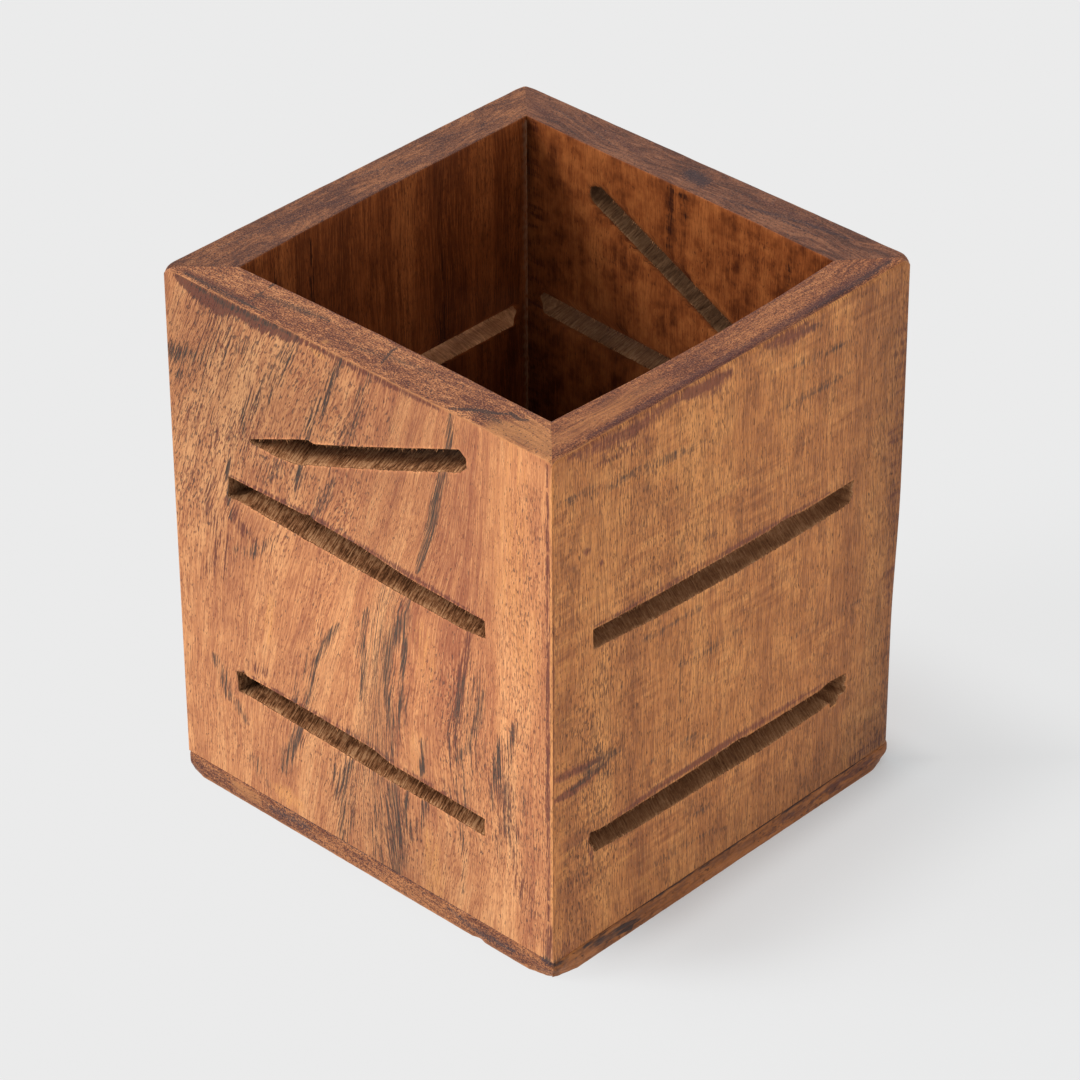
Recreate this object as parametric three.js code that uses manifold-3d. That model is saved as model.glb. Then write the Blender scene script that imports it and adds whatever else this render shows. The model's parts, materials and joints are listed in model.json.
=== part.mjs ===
// A square wooden pen cup: four mitred boards glued round a well, on a thin base board,
// with narrow saw-cut slots through the walls. The boards stand on end, so their grain
// is upright and the rim is end grain.
// Millimetres, +Z up. The origin is the middle of the underside. front_wall faces -Y,
// right_wall +X, back_wall +Y and left_wall -X.
import * as THREE from "three";
import { mergeVertices } from "three/addons/utils/BufferGeometryUtils.js";
import Module from "manifold-3d";

// The box
const cupWidth = 90; // along X, over the walls
const cupDepth = 88.5; // along Y, over the walls
const wallHeight = 100.5;
const wallThickness = 9;
const rimEasing = 0.6; // radius sanded on the rim's outer arris
const wellEasing = 0.25; // radius sanded on the rim's inner arris

// The base board, glued under the ends of the walls
const baseThickness = 4.1;
const baseProud = 0.25; // how far it stands out past the walls
const baseCornerRadius = 1.2;
const baseEasing = 0.5; // on its upper and lower arris

// The four upright corners, named by what lies at each: edgeRadius rounds the whole edge,
// and the rim's corner point is worn away over wornAcross along the rim and wornDown
// along the edge.
const corners = {
  frontRight: { edgeRadius: 0.6, wornAcross: 0.9, wornDown: 1.8 },
  backRight: { edgeRadius: 0.9, wornAcross: 4, wornDown: 8 },
  backLeft: { edgeRadius: 0.8, wornAcross: 1, wornDown: 1 },
  frontLeft: { edgeRadius: 0.6, wornAcross: 1.8, wornDown: 3 },
};

// Level slots. The middle of a slot is given as a drop from the rim or as a level above the
// base board, and its ends from the left and right end of the board, seen from outside.
const slotHeight = 4.4;
const slotEndRadius = 0.6;
const levelSlots = {
  front: [
    { drop: 38.6, fromLeft: 13.9, fromRight: 15.3 },
    { level: 21.3, fromLeft: 13.8, fromRight: 15.9 },
  ],
  right: [
    { drop: 40.4, fromLeft: 9.8, fromRight: 13.3 },
    { level: 19.4, fromLeft: 9.1, fromRight: 13.2 },
  ],
  back: [
    { drop: 37.6, fromLeft: 14, fromRight: 13 },
    { level: 21.3, fromLeft: 14, fromRight: 14 },
  ],
  left: [
    { drop: 39.1, fromLeft: 12.8, fromRight: 12.8 },
    { level: 20.4, fromLeft: 12.8, fromRight: 12.8 },
  ],
};

// Diagonal slots, which climb from a pointed tip at their left end. The tip and the upper
// end are given down from the rim, and the tip's underside is cut level over its heel.
const diagonalWidth = 3.7; // square to the slot
const diagonalSlots = {
  front: { tipDrop: 26.4, topDrop: 6.8, fromLeft: 19.5, fromRight: 21.3, heel: 10.6 },
  back: { tipDrop: 30.2, topDrop: 7.4, fromLeft: 15.5, fromRight: 26.5, heel: 8.4 },
};

// Wood tones
const faceTone = 0xc08457;
const shadedFaceTone = 0xb0764a;
const baseTone = 0x8a5233;
const oiledRoughness = 0.55;

const overshoot = 1; // how far a cutter runs past what it cuts
const arcSteps = 5;
const capTop = wallHeight + overshoot;

const wasm = await Module();
wasm.setup();

// A closed geometry as a manifold-3d solid, for joining and cutting.
function solid(geometry) {
  geometry.deleteAttribute("normal");
  geometry.deleteAttribute("uv");
  const merged = mergeVertices(geometry, 1e-5);
  return new wasm.Manifold(
    new wasm.Mesh({
      numProp: 3,
      vertProperties: merged.attributes.position.array,
      triVerts: new Uint32Array(merged.index.array),
    }),
  );
}

// A manifold-3d solid as a flat-shaded geometry.
function geometryOf(body) {
  const mesh = body.getMesh();
  const indexed = new THREE.BufferGeometry();
  indexed.setAttribute("position", new THREE.BufferAttribute(mesh.vertProperties, 3));
  indexed.setIndex(new THREE.BufferAttribute(mesh.triVerts, 1));
  const geometry = indexed.toNonIndexed();
  geometry.computeVertexNormals();
  return geometry;
}

function prism(outline, depth) {
  return new THREE.ExtrudeGeometry(outline, {
    depth,
    bevelEnabled: false,
    curveSegments: arcSteps,
  });
}

// A board lies in its own frame: X along the board to the right seen from outside, Y from
// the outer face inwards, Z up from its lower end. These place an outline drawn in the
// board's plan (X, Y), on its face (X, Z) or in its side section (Y, Z).
function fromPlan(outline, height) {
  return solid(prism(outline, height));
}

function fromFace(outline) {
  const geometry = prism(outline, wallThickness + 2 * overshoot);
  geometry.rotateX(Math.PI / 2);
  geometry.translate(0, wallThickness + overshoot, 0);
  return solid(geometry);
}

function fromSection(outline, length) {
  const geometry = prism(outline, length + 2 * overshoot);
  const axes = new THREE.Matrix4().makeBasis(
    new THREE.Vector3(0, 1, 0),
    new THREE.Vector3(0, 0, 1),
    new THREE.Vector3(1, 0, 0),
  );
  geometry.applyMatrix4(axes);
  geometry.translate(-length / 2 - overshoot, 0, 0);
  return solid(geometry);
}

// The board's plan: outer face in front, mitred ends, and half of each corner's rounding.
function planOutline(length, leftRadius, rightRadius) {
  const half = length / 2;
  const outline = new THREE.Shape();
  outline.moveTo(-half + leftRadius, 0);
  outline.lineTo(half - rightRadius, 0);
  outline.absarc(half - rightRadius, rightRadius, rightRadius, -Math.PI / 2, -Math.PI / 4);
  outline.lineTo(half - wallThickness, wallThickness);
  outline.lineTo(-half + wallThickness, wallThickness);
  outline.absarc(
    -half + leftRadius,
    leftRadius,
    leftRadius,
    (-3 * Math.PI) / 4,
    -Math.PI / 2,
  );
  return outline;
}

// The board seen from outside: level rim with its two corner points worn away.
function faceOutline(length, left, right) {
  const half = length / 2;
  const outline = new THREE.Shape();
  outline.moveTo(-half, -overshoot);
  outline.lineTo(half, -overshoot);
  outline.absellipse(
    half - right.wornAcross,
    wallHeight - right.wornDown,
    right.wornAcross,
    right.wornDown,
    0,
    Math.PI / 2,
  );
  outline.absellipse(
    -half + left.wornAcross,
    wallHeight - left.wornDown,
    left.wornAcross,
    left.wornDown,
    Math.PI / 2,
    Math.PI,
  );
  return outline;
}

// What sanding takes off one arris of the rim; side is 1 on the outer face, -1 in the well.
function arrisOutline(faceAt, side, radius) {
  const outline = new THREE.Shape();
  const centreY = faceAt + side * radius;
  const centreZ = wallHeight - radius;
  outline.moveTo(centreY, capTop);
  outline.lineTo(faceAt - side * overshoot, capTop);
  outline.lineTo(faceAt - side * overshoot, centreZ);
  outline.absarc(centreY, centreZ, radius, side > 0 ? Math.PI : 0, Math.PI / 2, side > 0);
  return outline;
}

function levelSlotOutline(length, slot) {
  const left = -length / 2 + slot.fromLeft;
  const right = length / 2 - slot.fromRight;
  const middle = slot.level ?? wallHeight - slot.drop;
  const low = middle - slotHeight / 2;
  const high = middle + slotHeight / 2;
  const r = slotEndRadius;
  const outline = new THREE.Shape();
  outline.moveTo(left + r, low);
  outline.absarc(right - r, low + r, r, -Math.PI / 2, 0);
  outline.absarc(right - r, high - r, r, 0, Math.PI / 2);
  outline.absarc(left + r, high - r, r, Math.PI / 2, Math.PI);
  outline.absarc(left + r, low + r, r, Math.PI, (3 * Math.PI) / 2);
  return outline;
}

// A slanted band whose lower left end is cut level, so that it starts in a point.
function diagonalSlotOutline(length, slot) {
  const tip = new THREE.Vector2(-length / 2 + slot.fromLeft, wallHeight - slot.tipDrop);
  const top = new THREE.Vector2(length / 2 - slot.fromRight, wallHeight - slot.topDrop);
  const climb = Math.atan2(top.y - tip.y, top.x - tip.x);
  const across = new THREE.Vector2(Math.sin(climb), -Math.cos(climb));
  const lowerEnd = top.clone().addScaledVector(across, diagonalWidth);
  const bulge = new THREE.Vector2(Math.cos(climb), Math.sin(climb));
  const endMiddle = top.clone().addScaledVector(across, diagonalWidth / 2);
  endMiddle.addScaledVector(bulge, diagonalWidth / 2);
  const outline = new THREE.Shape();
  outline.moveTo(tip.x, tip.y);
  outline.lineTo(tip.x + slot.heel, tip.y);
  outline.lineTo(lowerEnd.x, lowerEnd.y);
  outline.quadraticCurveTo(endMiddle.x, endMiddle.y, top.x, top.y);
  return outline;
}

function boardSolid(length, left, right, levels, diagonal) {
  const plan = fromPlan(planOutline(length, left.edgeRadius, right.edgeRadius), capTop);
  const outerArris = fromSection(arrisOutline(0, 1, rimEasing), length);
  const innerArris = fromSection(arrisOutline(wallThickness, -1, wellEasing), length);
  let board = plan.intersect(fromFace(faceOutline(length, left, right)));
  board = board.subtract(outerArris).subtract(innerArris);
  for (const slot of levels) {
    board = board.subtract(fromFace(levelSlotOutline(length, slot)));
  }
  if (diagonal) {
    board = board.subtract(fromFace(diagonalSlotOutline(length, diagonal)));
  }
  return board;
}

function baseGeometry() {
  const halfWidth = cupWidth / 2 + baseProud - baseEasing;
  const halfDepth = cupDepth / 2 + baseProud - baseEasing;
  const r = baseCornerRadius;
  const outline = new THREE.Shape();
  outline.moveTo(-halfWidth + r, -halfDepth);
  outline.absarc(halfWidth - r, -halfDepth + r, r, -Math.PI / 2, 0);
  outline.absarc(halfWidth - r, halfDepth - r, r, 0, Math.PI / 2);
  outline.absarc(-halfWidth + r, halfDepth - r, r, Math.PI / 2, Math.PI);
  outline.absarc(-halfWidth + r, -halfDepth + r, r, Math.PI, (3 * Math.PI) / 2);
  const geometry = new THREE.ExtrudeGeometry(outline, {
    depth: baseThickness - 2 * baseEasing,
    bevelThickness: baseEasing,
    bevelSize: baseEasing,
    bevelSegments: 3,
    curveSegments: arcSteps,
  });
  return geometry.translate(0, 0, baseEasing);
}

function wood(tone) {
  return new THREE.MeshStandardMaterial({
    color: tone,
    roughness: oiledRoughness,
    metalness: 0,
  });
}

// The walls in order anticlockwise from the front, each a quarter turn on from the last.
const walls = [
  {
    name: "front_wall",
    length: cupWidth,
    at: [0, -cupDepth / 2],
    ends: [corners.frontLeft, corners.frontRight],
    levels: levelSlots.front,
    diagonal: diagonalSlots.front,
    tone: faceTone,
  },
  {
    name: "right_wall",
    length: cupDepth,
    at: [cupWidth / 2, 0],
    ends: [corners.frontRight, corners.backRight],
    levels: levelSlots.right,
    tone: shadedFaceTone,
  },
  {
    name: "back_wall",
    length: cupWidth,
    at: [0, cupDepth / 2],
    ends: [corners.backRight, corners.backLeft],
    levels: levelSlots.back,
    diagonal: diagonalSlots.back,
    tone: shadedFaceTone,
  },
  {
    name: "left_wall",
    length: cupDepth,
    at: [-cupWidth / 2, 0],
    ends: [corners.backLeft, corners.frontLeft],
    levels: levelSlots.left,
    tone: faceTone,
  },
];

const penCup = new THREE.Group();

const baseBoard = new THREE.Mesh(baseGeometry(), wood(baseTone));
baseBoard.name = "base_board";
penCup.add(baseBoard);

const wallRing = new THREE.Group();
wallRing.position.z = baseThickness;
penCup.add(wallRing);

walls.forEach((wall, quarterTurns) => {
  const [left, right] = wall.ends;
  const board = boardSolid(wall.length, left, right, wall.levels, wall.diagonal);
  const mesh = new THREE.Mesh(geometryOf(board), wood(wall.tone));
  mesh.name = wall.name;
  mesh.position.set(wall.at[0], wall.at[1], 0);
  mesh.rotation.z = (quarterTurns * Math.PI) / 2;
  wallRing.add(mesh);
});

export default penCup;
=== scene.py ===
"""A square wooden pen cup: four mitred boards on a thin base board, with slots sawn through.

Places on a board are in millimetres in the board's own frame: along runs to the right seen
from outside the cup, deep runs in from the outer face, and up is the height above the
surface that the cup stands on. place_board() turns them into metres in the shared frame.
"""

import json
import math
from collections import namedtuple
from functools import partial

import bpy
import numpy as np
from mathutils import Matrix, Vector, noise
from mathutils.geometry import delaunay_2d_cdt


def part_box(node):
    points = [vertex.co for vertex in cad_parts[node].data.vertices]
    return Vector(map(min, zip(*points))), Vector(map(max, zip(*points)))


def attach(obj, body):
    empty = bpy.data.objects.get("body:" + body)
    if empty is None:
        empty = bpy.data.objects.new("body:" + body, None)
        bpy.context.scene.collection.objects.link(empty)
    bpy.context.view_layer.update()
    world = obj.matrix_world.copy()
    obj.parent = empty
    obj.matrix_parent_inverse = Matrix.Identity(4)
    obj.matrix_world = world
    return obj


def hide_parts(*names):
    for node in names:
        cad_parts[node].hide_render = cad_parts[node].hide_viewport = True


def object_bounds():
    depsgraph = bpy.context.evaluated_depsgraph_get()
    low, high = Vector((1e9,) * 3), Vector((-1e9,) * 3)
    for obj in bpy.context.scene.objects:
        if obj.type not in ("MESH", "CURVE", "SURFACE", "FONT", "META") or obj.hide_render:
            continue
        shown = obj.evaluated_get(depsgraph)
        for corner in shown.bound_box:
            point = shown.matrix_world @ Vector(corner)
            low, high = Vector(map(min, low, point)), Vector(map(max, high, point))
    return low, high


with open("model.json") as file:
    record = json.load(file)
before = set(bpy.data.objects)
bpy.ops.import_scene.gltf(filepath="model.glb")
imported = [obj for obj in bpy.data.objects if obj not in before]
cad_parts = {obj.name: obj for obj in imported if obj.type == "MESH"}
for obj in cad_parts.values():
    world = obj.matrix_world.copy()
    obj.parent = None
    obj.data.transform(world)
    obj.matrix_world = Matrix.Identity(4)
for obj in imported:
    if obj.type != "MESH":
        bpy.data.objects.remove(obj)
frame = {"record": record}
cad_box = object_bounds()

MM = 0.001

# Sizes read off the frame, in millimetres
front_low, front_high = (np.array(corner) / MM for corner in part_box("front_wall"))
back_high, right_high = (np.array(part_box(name)[1]) / MM for name in ("back_wall", "right_wall"))
left_low = np.array(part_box("left_wall")[0]) / MM
base_low, base_high = (np.array(corner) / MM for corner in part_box("base_board"))
CUP_WIDTH = right_high[0] - left_low[0]
CUP_DEPTH = back_high[1] - front_low[1]
WALL = front_high[1] - front_low[1]
SEAM_UP = front_low[2]
RIM_UP = front_high[2]

# How finely the surfaces are cut up, in millimetres
FACE_STEP = 0.5
SHADED_STEP = 1.2
RIM_STEP = 0.36
SLOT_STEP = 0.35
FOOT_STEP = 1.5
RISER_STEP = 1.1
# Where points lie close together, in from an arris, and how far loose ones keep off the slots
ARRIS_STEPS = np.array([0.2, 0.45, 0.75, 1.1])
SLOT_MARGIN = 0.3
# Edges that turn by more than this many degrees are sharp
SHARP_ANGLE = 38

# Finishes of a board, in the order of its material slots
OUTER, RIM, SAWN, INNER, JOINT = range(5)
# Marks on the wood, in the order of the colour attribute's channels
STREAK, STAIN, GOLD, PORES = range(4)

# The photograph's view, from a fit of the box's corners and edges: degrees and metres
VIEW_AZIMUTH, VIEW_ELEVATION, VIEW_ROLL = 43.543, 33.483, -0.257
VIEW_DISTANCE, AIM_RIGHT, AIM_UP = 0.87498, -0.000016, 0.040369
LENS = 161.66

# Light: the key comes from the left, seen from the camera
KEY_AZIMUTH, KEY_ELEVATION, KEY_SIZE, KEY_STRENGTH = -132, 36, 24, 1.55
LOW_LIGHT, HIGH_LIGHT = 1.12, 0.46
# How much the floor glows by itself: in front of the cup, at its shaded side, far off there
GLOW_FRONT, GLOW_BESIDE, GLOW_BEYOND = 0.985, 0.26, 0.9
# Where that changes, in metres: past the shaded sides, near and far, then back to front and
# right to left
NEAR_SHADE, FAR_SHADE = (-0.001, 0.009), (0.006, 0.04)
TO_FRONT, TO_LEFT = (-0.012, -0.05), (0.036, -0.02)
FLOOR_SIZE = 12
WHITE = (1, 1, 1, 1)

# The boards: quarter turns from the front, half the width, left and right corner, step of the
# outer face, the record's slot, and the seed of its unevenness
Plan = namedtuple("Plan", "name turns half corners step finish_slot seed")
WALLS = (
    Plan("front", 0, CUP_WIDTH / 2, ("front_left", "front_right"), FACE_STEP, "light_wood", 5),
    Plan("right", 1, CUP_DEPTH / 2, ("front_right", "back_right"), FACE_STEP, "brown_wood", 5),
    Plan("back", 2, CUP_WIDTH / 2, ("back_right", "back_left"), SHADED_STEP, "brown_wood", 4),
    Plan("left", 3, CUP_DEPTH / 2, ("back_left", "front_left"), SHADED_STEP, "light_wood", 4),
)


def smooth(low, high, x):
    t = np.clip((x - low) / (high - low), 0, 1)
    return t * t * (3 - 2 * t)


def link(name, data):
    """Puts the mesh, lamp or camera into the scene."""
    made = bpy.data.objects.new(name, data)
    bpy.context.collection.objects.link(made)
    return made


def towards(azimuth, elevation):
    """The unit vector that way, from angles in radians."""
    flat = math.cos(elevation)
    return Vector((math.cos(azimuth) * flat, math.sin(azimuth) * flat, math.sin(elevation)))


def set_camera():
    azimuth, elevation, roll = (math.radians(a) for a in (VIEW_AZIMUTH, VIEW_ELEVATION, VIEW_ROLL))
    level = towards(azimuth, 0)
    back = towards(azimuth - math.pi / 2, elevation)
    upright = back.cross(level)
    right = level * math.cos(roll) + upright * math.sin(roll)
    up = upright * math.cos(roll) - level * math.sin(roll)
    lens = bpy.data.cameras.new("camera")
    lens.lens = LENS
    lens.clip_start = 0.01
    camera = link("camera", lens)
    place = Matrix.Translation(back * VIEW_DISTANCE + right * AIM_RIGHT + up * AIM_UP)
    camera.matrix_world = place @ Matrix((right, up, back)).transposed().to_4x4()
    bpy.context.scene.camera = camera


class Bench:
    """Builds a node tree: values and sockets go in alike."""

    def __init__(self, tree):
        self.tree = tree

    def put(self, socket, value):
        if isinstance(value, bpy.types.NodeSocket):
            self.tree.links.new(value, socket)
        else:
            socket.default_value = value

    def node(self, kind, inputs=None, **settings):
        made = self.tree.nodes.new(kind)
        for name, value in settings.items():
            setattr(made, name, value)
        for key, value in (inputs or {}).items():
            self.put(made.inputs[key], value)
        return made

    def end(self, kind, surface):
        self.put(self.node(kind).inputs["Surface"], surface.outputs[0])

    def math(self, operation, a, b=0.0, c=0.0, clamp=False):
        made = self.node("ShaderNodeMath", {0: a, 1: b, 2: c}, operation=operation)
        made.use_clamp = clamp
        return made.outputs[0]

    def add(self, total, *others):
        for other in others:
            total = self.math("ADD", total, other)
        return total

    def times(self, a, b):
        return self.math("MULTIPLY", a, b)

    def centred(self, value, gain):
        """How far the value is from a half, times the gain."""
        return self.times(self.math("SUBTRACT", value, 0.5), gain)

    def noise(self, where, grain, shift=(0, 0, 0), detail=2, roughness=0.5):
        """Noise with grains of the given size along, deep and up, in the units of where."""
        sizes = {"Vector": where, "Scale": [1 / size for size in grain], "Location": shift}
        scaled = self.node("ShaderNodeMapping", sizes).outputs[0]
        inputs = {"Vector": scaled, "Scale": 1.0, "Detail": detail, "Roughness": roughness}
        return self.node("ShaderNodeTexNoise", inputs).outputs["Fac"]

    def between(self, value, low, high, to_low=0.0, to_high=1.0):
        ends = {"Value": value, "From Min": low, "From Max": high, "To Min": to_low, "To Max": to_high}
        return self.node("ShaderNodeMapRange", ends, interpolation_type="SMOOTHSTEP").outputs[0]

    def mix(self, factor, a, b):
        return self.node("ShaderNodeMix", {0: factor, 6: a, 7: b}, data_type="RGBA").outputs[2]

    def ramp(self, value, stops):
        made = self.node("ShaderNodeValToRGB", {"Fac": value})
        ramp = made.color_ramp
        while len(ramp.elements) < len(stops):
            ramp.elements.new(0.5)
        for element, (at, colour) in zip(ramp.elements, stops):
            element.position = at
            element.color = colour
        return made.outputs["Color"]

    def levels(self, level, low, middle, high, spread):
        """Three tones, with the middle one where the level is nothing."""
        stops = [(0.5 - spread, low), (0.5, middle), (0.5 + spread, high)]
        return self.ramp(self.math("ADD", level, 0.5, clamp=True), stops)


def tone(red, green, blue):
    """A colour given as it looks, 0 to 255, as the linear colour that a node takes."""
    shares = [c / 255 for c in (red, green, blue)]
    linear = [((s + 0.055) / 1.055) ** 2.4 if s > 0.04 else s / 12.92 for s in shares]
    return (*linear, 1.0)


def new_material(name):
    material = bpy.data.materials.new(name)
    material.use_nodes = True
    material.node_tree.nodes.clear()
    return material, Bench(material.node_tree)


OIL_IOR = 1.45


def finish_wood(bench, colour, roughness, height, bump_mm, shine):
    """An oiled surface over the colour, with the height (0 to 1) as relief bump_mm high."""
    bump = bench.node("ShaderNodeBump", {"Height": height, "Strength": 1.0, "Distance": bump_mm * MM})
    inputs = {
        "Base Color": colour,
        "Roughness": roughness,
        "Normal": bump.outputs[0],
        "IOR": OIL_IOR,
        "Specular IOR Level": shine,
    }
    bench.end("ShaderNodeOutputMaterial", bench.node("ShaderNodeBsdfPrincipled", inputs))


# The tones of a wood, in this order
Palette = namedtuple("Palette", "dark middle light line pore streak stain gold")


def make_palette(*tones):
    return Palette(*(tone(*each) for each in tones))


TAN = make_palette(
    (176, 106, 70), (215, 142, 91), (247, 178, 119), (133, 68, 44),
    (66, 54, 54), (80, 62, 50), (98, 46, 38), (240, 166, 98),
)
BROWN = make_palette(
    (160, 93, 48), (198, 124, 66), (228, 153, 86), (108, 64, 34),
    (62, 42, 34), (84, 58, 42), (116, 56, 40), (222, 148, 78),
)
# Painted shade in part: the back's well is darker than its outer face, for its own tone and for the shade of
# the well
RUSSET = make_palette(
    (104, 50, 22), (156, 84, 41), (186, 108, 56), (78, 36, 18),
    (44, 22, 14), (58, 28, 18), (84, 34, 20), (204, 124, 62),
)
BASE_SIDE = make_palette(
    (92, 52, 27), (138, 80, 37), (178, 111, 55), (78, 42, 24),
    (44, 24, 18), (56, 34, 26), (84, 42, 30), (176, 110, 62),
)
# Painted shade in part: the wells of the front, right and left boards are darker than their outer faces, for
# their own tone and for the shade of the well
UMBER = make_palette(
    (92, 43, 18), (132, 68, 31), (172, 98, 50), (62, 27, 11),
    (32, 14, 8), (50, 22, 12), (62, 24, 12), (190, 150, 118),
)
RIM_TONES = {
    "front": make_palette(
        (122, 68, 47), (178, 111, 71), (224, 151, 99), (90, 48, 42),
        (58, 42, 42), (60, 48, 46), (90, 45, 40), (206, 140, 86),
    ),
    "right": make_palette(
        (116, 64, 43), (156, 92, 57), (198, 128, 80), (90, 50, 37),
        (50, 34, 32), (66, 40, 40), (78, 40, 42), (190, 124, 74),
    ),
    "back": make_palette(
        (88, 52, 38), (122, 74, 52), (152, 98, 68), (70, 40, 34),
        (44, 30, 32), (58, 42, 46), (72, 38, 38), (164, 104, 68),
    ),
    "left": make_palette(
        (90, 51, 37), (134, 82, 54), (176, 114, 74), (78, 44, 36),
        (48, 34, 36), (60, 44, 48), (70, 38, 38), (190, 126, 84),
    ),
    "base": make_palette(
        (112, 60, 38), (152, 92, 56), (194, 126, 78), (86, 50, 42),
        (52, 36, 38), (62, 50, 54), (80, 42, 40), (192, 128, 78),
    ),
}
# Pale worn wood and a painted highlight along the end grain's arris
WORN_AND_HIGHLIT_END = tone(236, 166, 112)
FLOOR_TONE = tone(241, 248, 251)
PAPER_TONE = tone(235, 235, 235)


def wood_place(bench):
    """Where a point lies in the wood, in millimetres, its painted marks, its pale wear with painted
    highlights, and its shade, which holds painted light and shade.
    """
    names = ("grain", "marks", "wear", "shade")
    grain, marks, wear, shade = (bench.node("ShaderNodeAttribute", attribute_name=name) for name in names)
    split = bench.node("ShaderNodeSeparateColor", {"Color": marks.outputs["Color"]}).outputs
    channels = [split[0], split[1], split[2], marks.outputs["Alpha"]]
    return grain.outputs["Vector"], channels, wear.outputs["Fac"], shade.outputs["Fac"]


def moved(bench, where, axis, by):
    offset = bench.node("ShaderNodeCombineXYZ", {axis: by}).outputs[0]
    return bench.node("ShaderNodeVectorMath", {0: where, 1: offset}, operation="ADD").outputs[0]


def shaded(bench, colour, shade):
    """The colour made lighter or darker by the shade, a share of its brightness: painted light and shade,
    and broad tone.
    """
    made = bench.node("ShaderNodeVectorMath", {0: colour}, operation="SCALE")
    bench.put(made.inputs["Scale"], bench.math("ADD", shade, 1.0))
    return made.outputs[0]


def marked(bench, body, marks, feather, layers, edge_low, fade):
    """Lays the painted marks over the wood, with the feather's swing along their edges."""
    for channel, colour, much in layers:
        edge = bench.between(bench.add(feather, marks[channel]), edge_low, 0.9)
        factor = bench.times(edge, bench.between(marks[channel], 0.0, fade))
        body = bench.mix(bench.times(factor, much), body, colour)
    return body


# The noises of upright grain, each drawn out along it to a length of its own
Grain = namedtuple("Grain", "broad band hair dash coarse vessel fibre cloud across rippled")


def grain_layers(bench, grain, seed):
    """Wandering grain: sizes in millimetres along the board, into it and up it."""
    shift = (seed * 17.3, seed * 5.1, seed * 9.7)
    other = shift[::-1]
    wander = bench.centred(bench.noise(grain, (7, 7, 24), shift), 2.4)
    place = moved(bench, grain, "X", wander)
    return Grain(
        broad=bench.noise(place, (8, 8, 90), shift),
        band=bench.noise(place, (1.3, 3, 34), shift, 3, 0.65),
        hair=bench.noise(place, (0.25, 1, 6), shift, 2, 0.65),
        dash=bench.noise(place, (0.2, 0.8, 1.3), shift, 1, 0.6),
        coarse=bench.between(bench.noise(place, (4, 4, 13), other), 0.36, 0.62, 0.45, 1.0),
        vessel=bench.noise(place, (0.27, 0.8, 1.25), other, 1, 0.4),
        fibre=bench.noise(place, (0.42, 1.2, 12), other, 2, 0.65),
        cloud=bench.noise(grain, (4.2, 4, 4.8), shift, 3, 0.65),
        across=bench.noise(grain, (13, 6, 1.6), shift, 3, 0.6),
        rippled=bench.between(bench.noise(grain, (16, 9, 13), other, 1), 0.42, 0.66),
    )


def long_grain_body(bench, g, palette, ripple, blotch, fine, comb):
    """Bands and ripples in three tones, with dark hairs and lines and light glints."""
    bands = bench.centred(g.band, 0.3 + 0.4 * comb)
    ripples = bench.times(bench.centred(g.across, 3.0 * ripple), g.rippled)
    level = bench.add(bench.centred(g.broad, 1.0), bands, bench.centred(g.cloud, blotch), ripples)
    body = bench.levels(level, palette.dark, palette.middle, palette.light, 0.3)
    body = bench.mix(bench.times(bench.between(g.hair, 0.46, 0.64), 0.5 * fine), body, palette.line)
    body = bench.mix(bench.times(bench.between(g.hair, 0.48, 0.3), 0.42), body, palette.light)
    lines = bench.times(bench.between(g.fibre, 0.6, 0.68), bench.between(g.broad, 0.42, 0.6, 0.15, 0.5))
    return bench.mix(bench.times(lines, fine), body, palette.line)


def long_grain_marks(bench, g, body, palette, marks, comb):
    feather = bench.add(
        bench.centred(g.fibre, 2.7 * comb),
        bench.centred(g.dash, 1.3),
        bench.centred(g.hair, 1.2 * comb),
        bench.centred(g.across, 3.0 * (1 - comb)),
    )
    strands = bench.between(bench.add(g.fibre, g.hair), 0.84, 1.12, 0.4, 1.0)
    layers = ((GOLD, palette.gold, 0.7), (STAIN, palette.stain, 0.85), (STREAK, palette.streak, strands))
    return marked(bench, body, marks, feather, layers, 0.2, 0.25)


def long_grain(name, palette, seed, ripple=0.0, blotch=0.45, pores=0.35, shine=0.35, fine=1.0, comb=1.0):
    """Upright grain: bands, hair lines and short dashes, ripples across it, pores and marks."""
    material, bench = new_material(name)
    grain, marks, wear, shade = wood_place(bench)
    g = grain_layers(bench, grain, seed)
    body = long_grain_body(bench, g, palette, ripple, blotch, fine, comb)
    body = long_grain_marks(bench, g, body, palette, marks, comb)

    dashes = bench.times(bench.between(g.dash, 0.52, 0.62), g.coarse)
    thick = bench.math("MULTIPLY_ADD", marks[PORES], 0.25, 0.65 * fine)
    body = bench.mix(bench.times(dashes, thick), body, palette.line)
    threshold = bench.math("MULTIPLY_ADD", marks[PORES], -0.09, 0.7 - 0.1 * pores)
    holes = bench.between(bench.math("SUBTRACT", g.vessel, threshold), 0.0, 0.06)
    body = bench.mix(bench.times(holes, 0.62), body, palette.pore)
    body = shaded(bench, body, shade)
    frayed = bench.add(g.hair, g.dash)
    # Pale worn wood and a painted highlight along the worn edges, in the gold tone
    worn = bench.times(wear, bench.between(frayed, 0.8, 1.1))
    body = bench.mix(bench.times(worn, 0.75), body, palette.gold)

    relief = bench.math("SUBTRACT", bench.times(frayed, 0.45), bench.times(holes, 0.5))
    finish_wood(bench, body, bench.between(g.vessel, 0.3, 0.7, 0.5, 0.66), relief, 0.14, shine)
    return material


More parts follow.
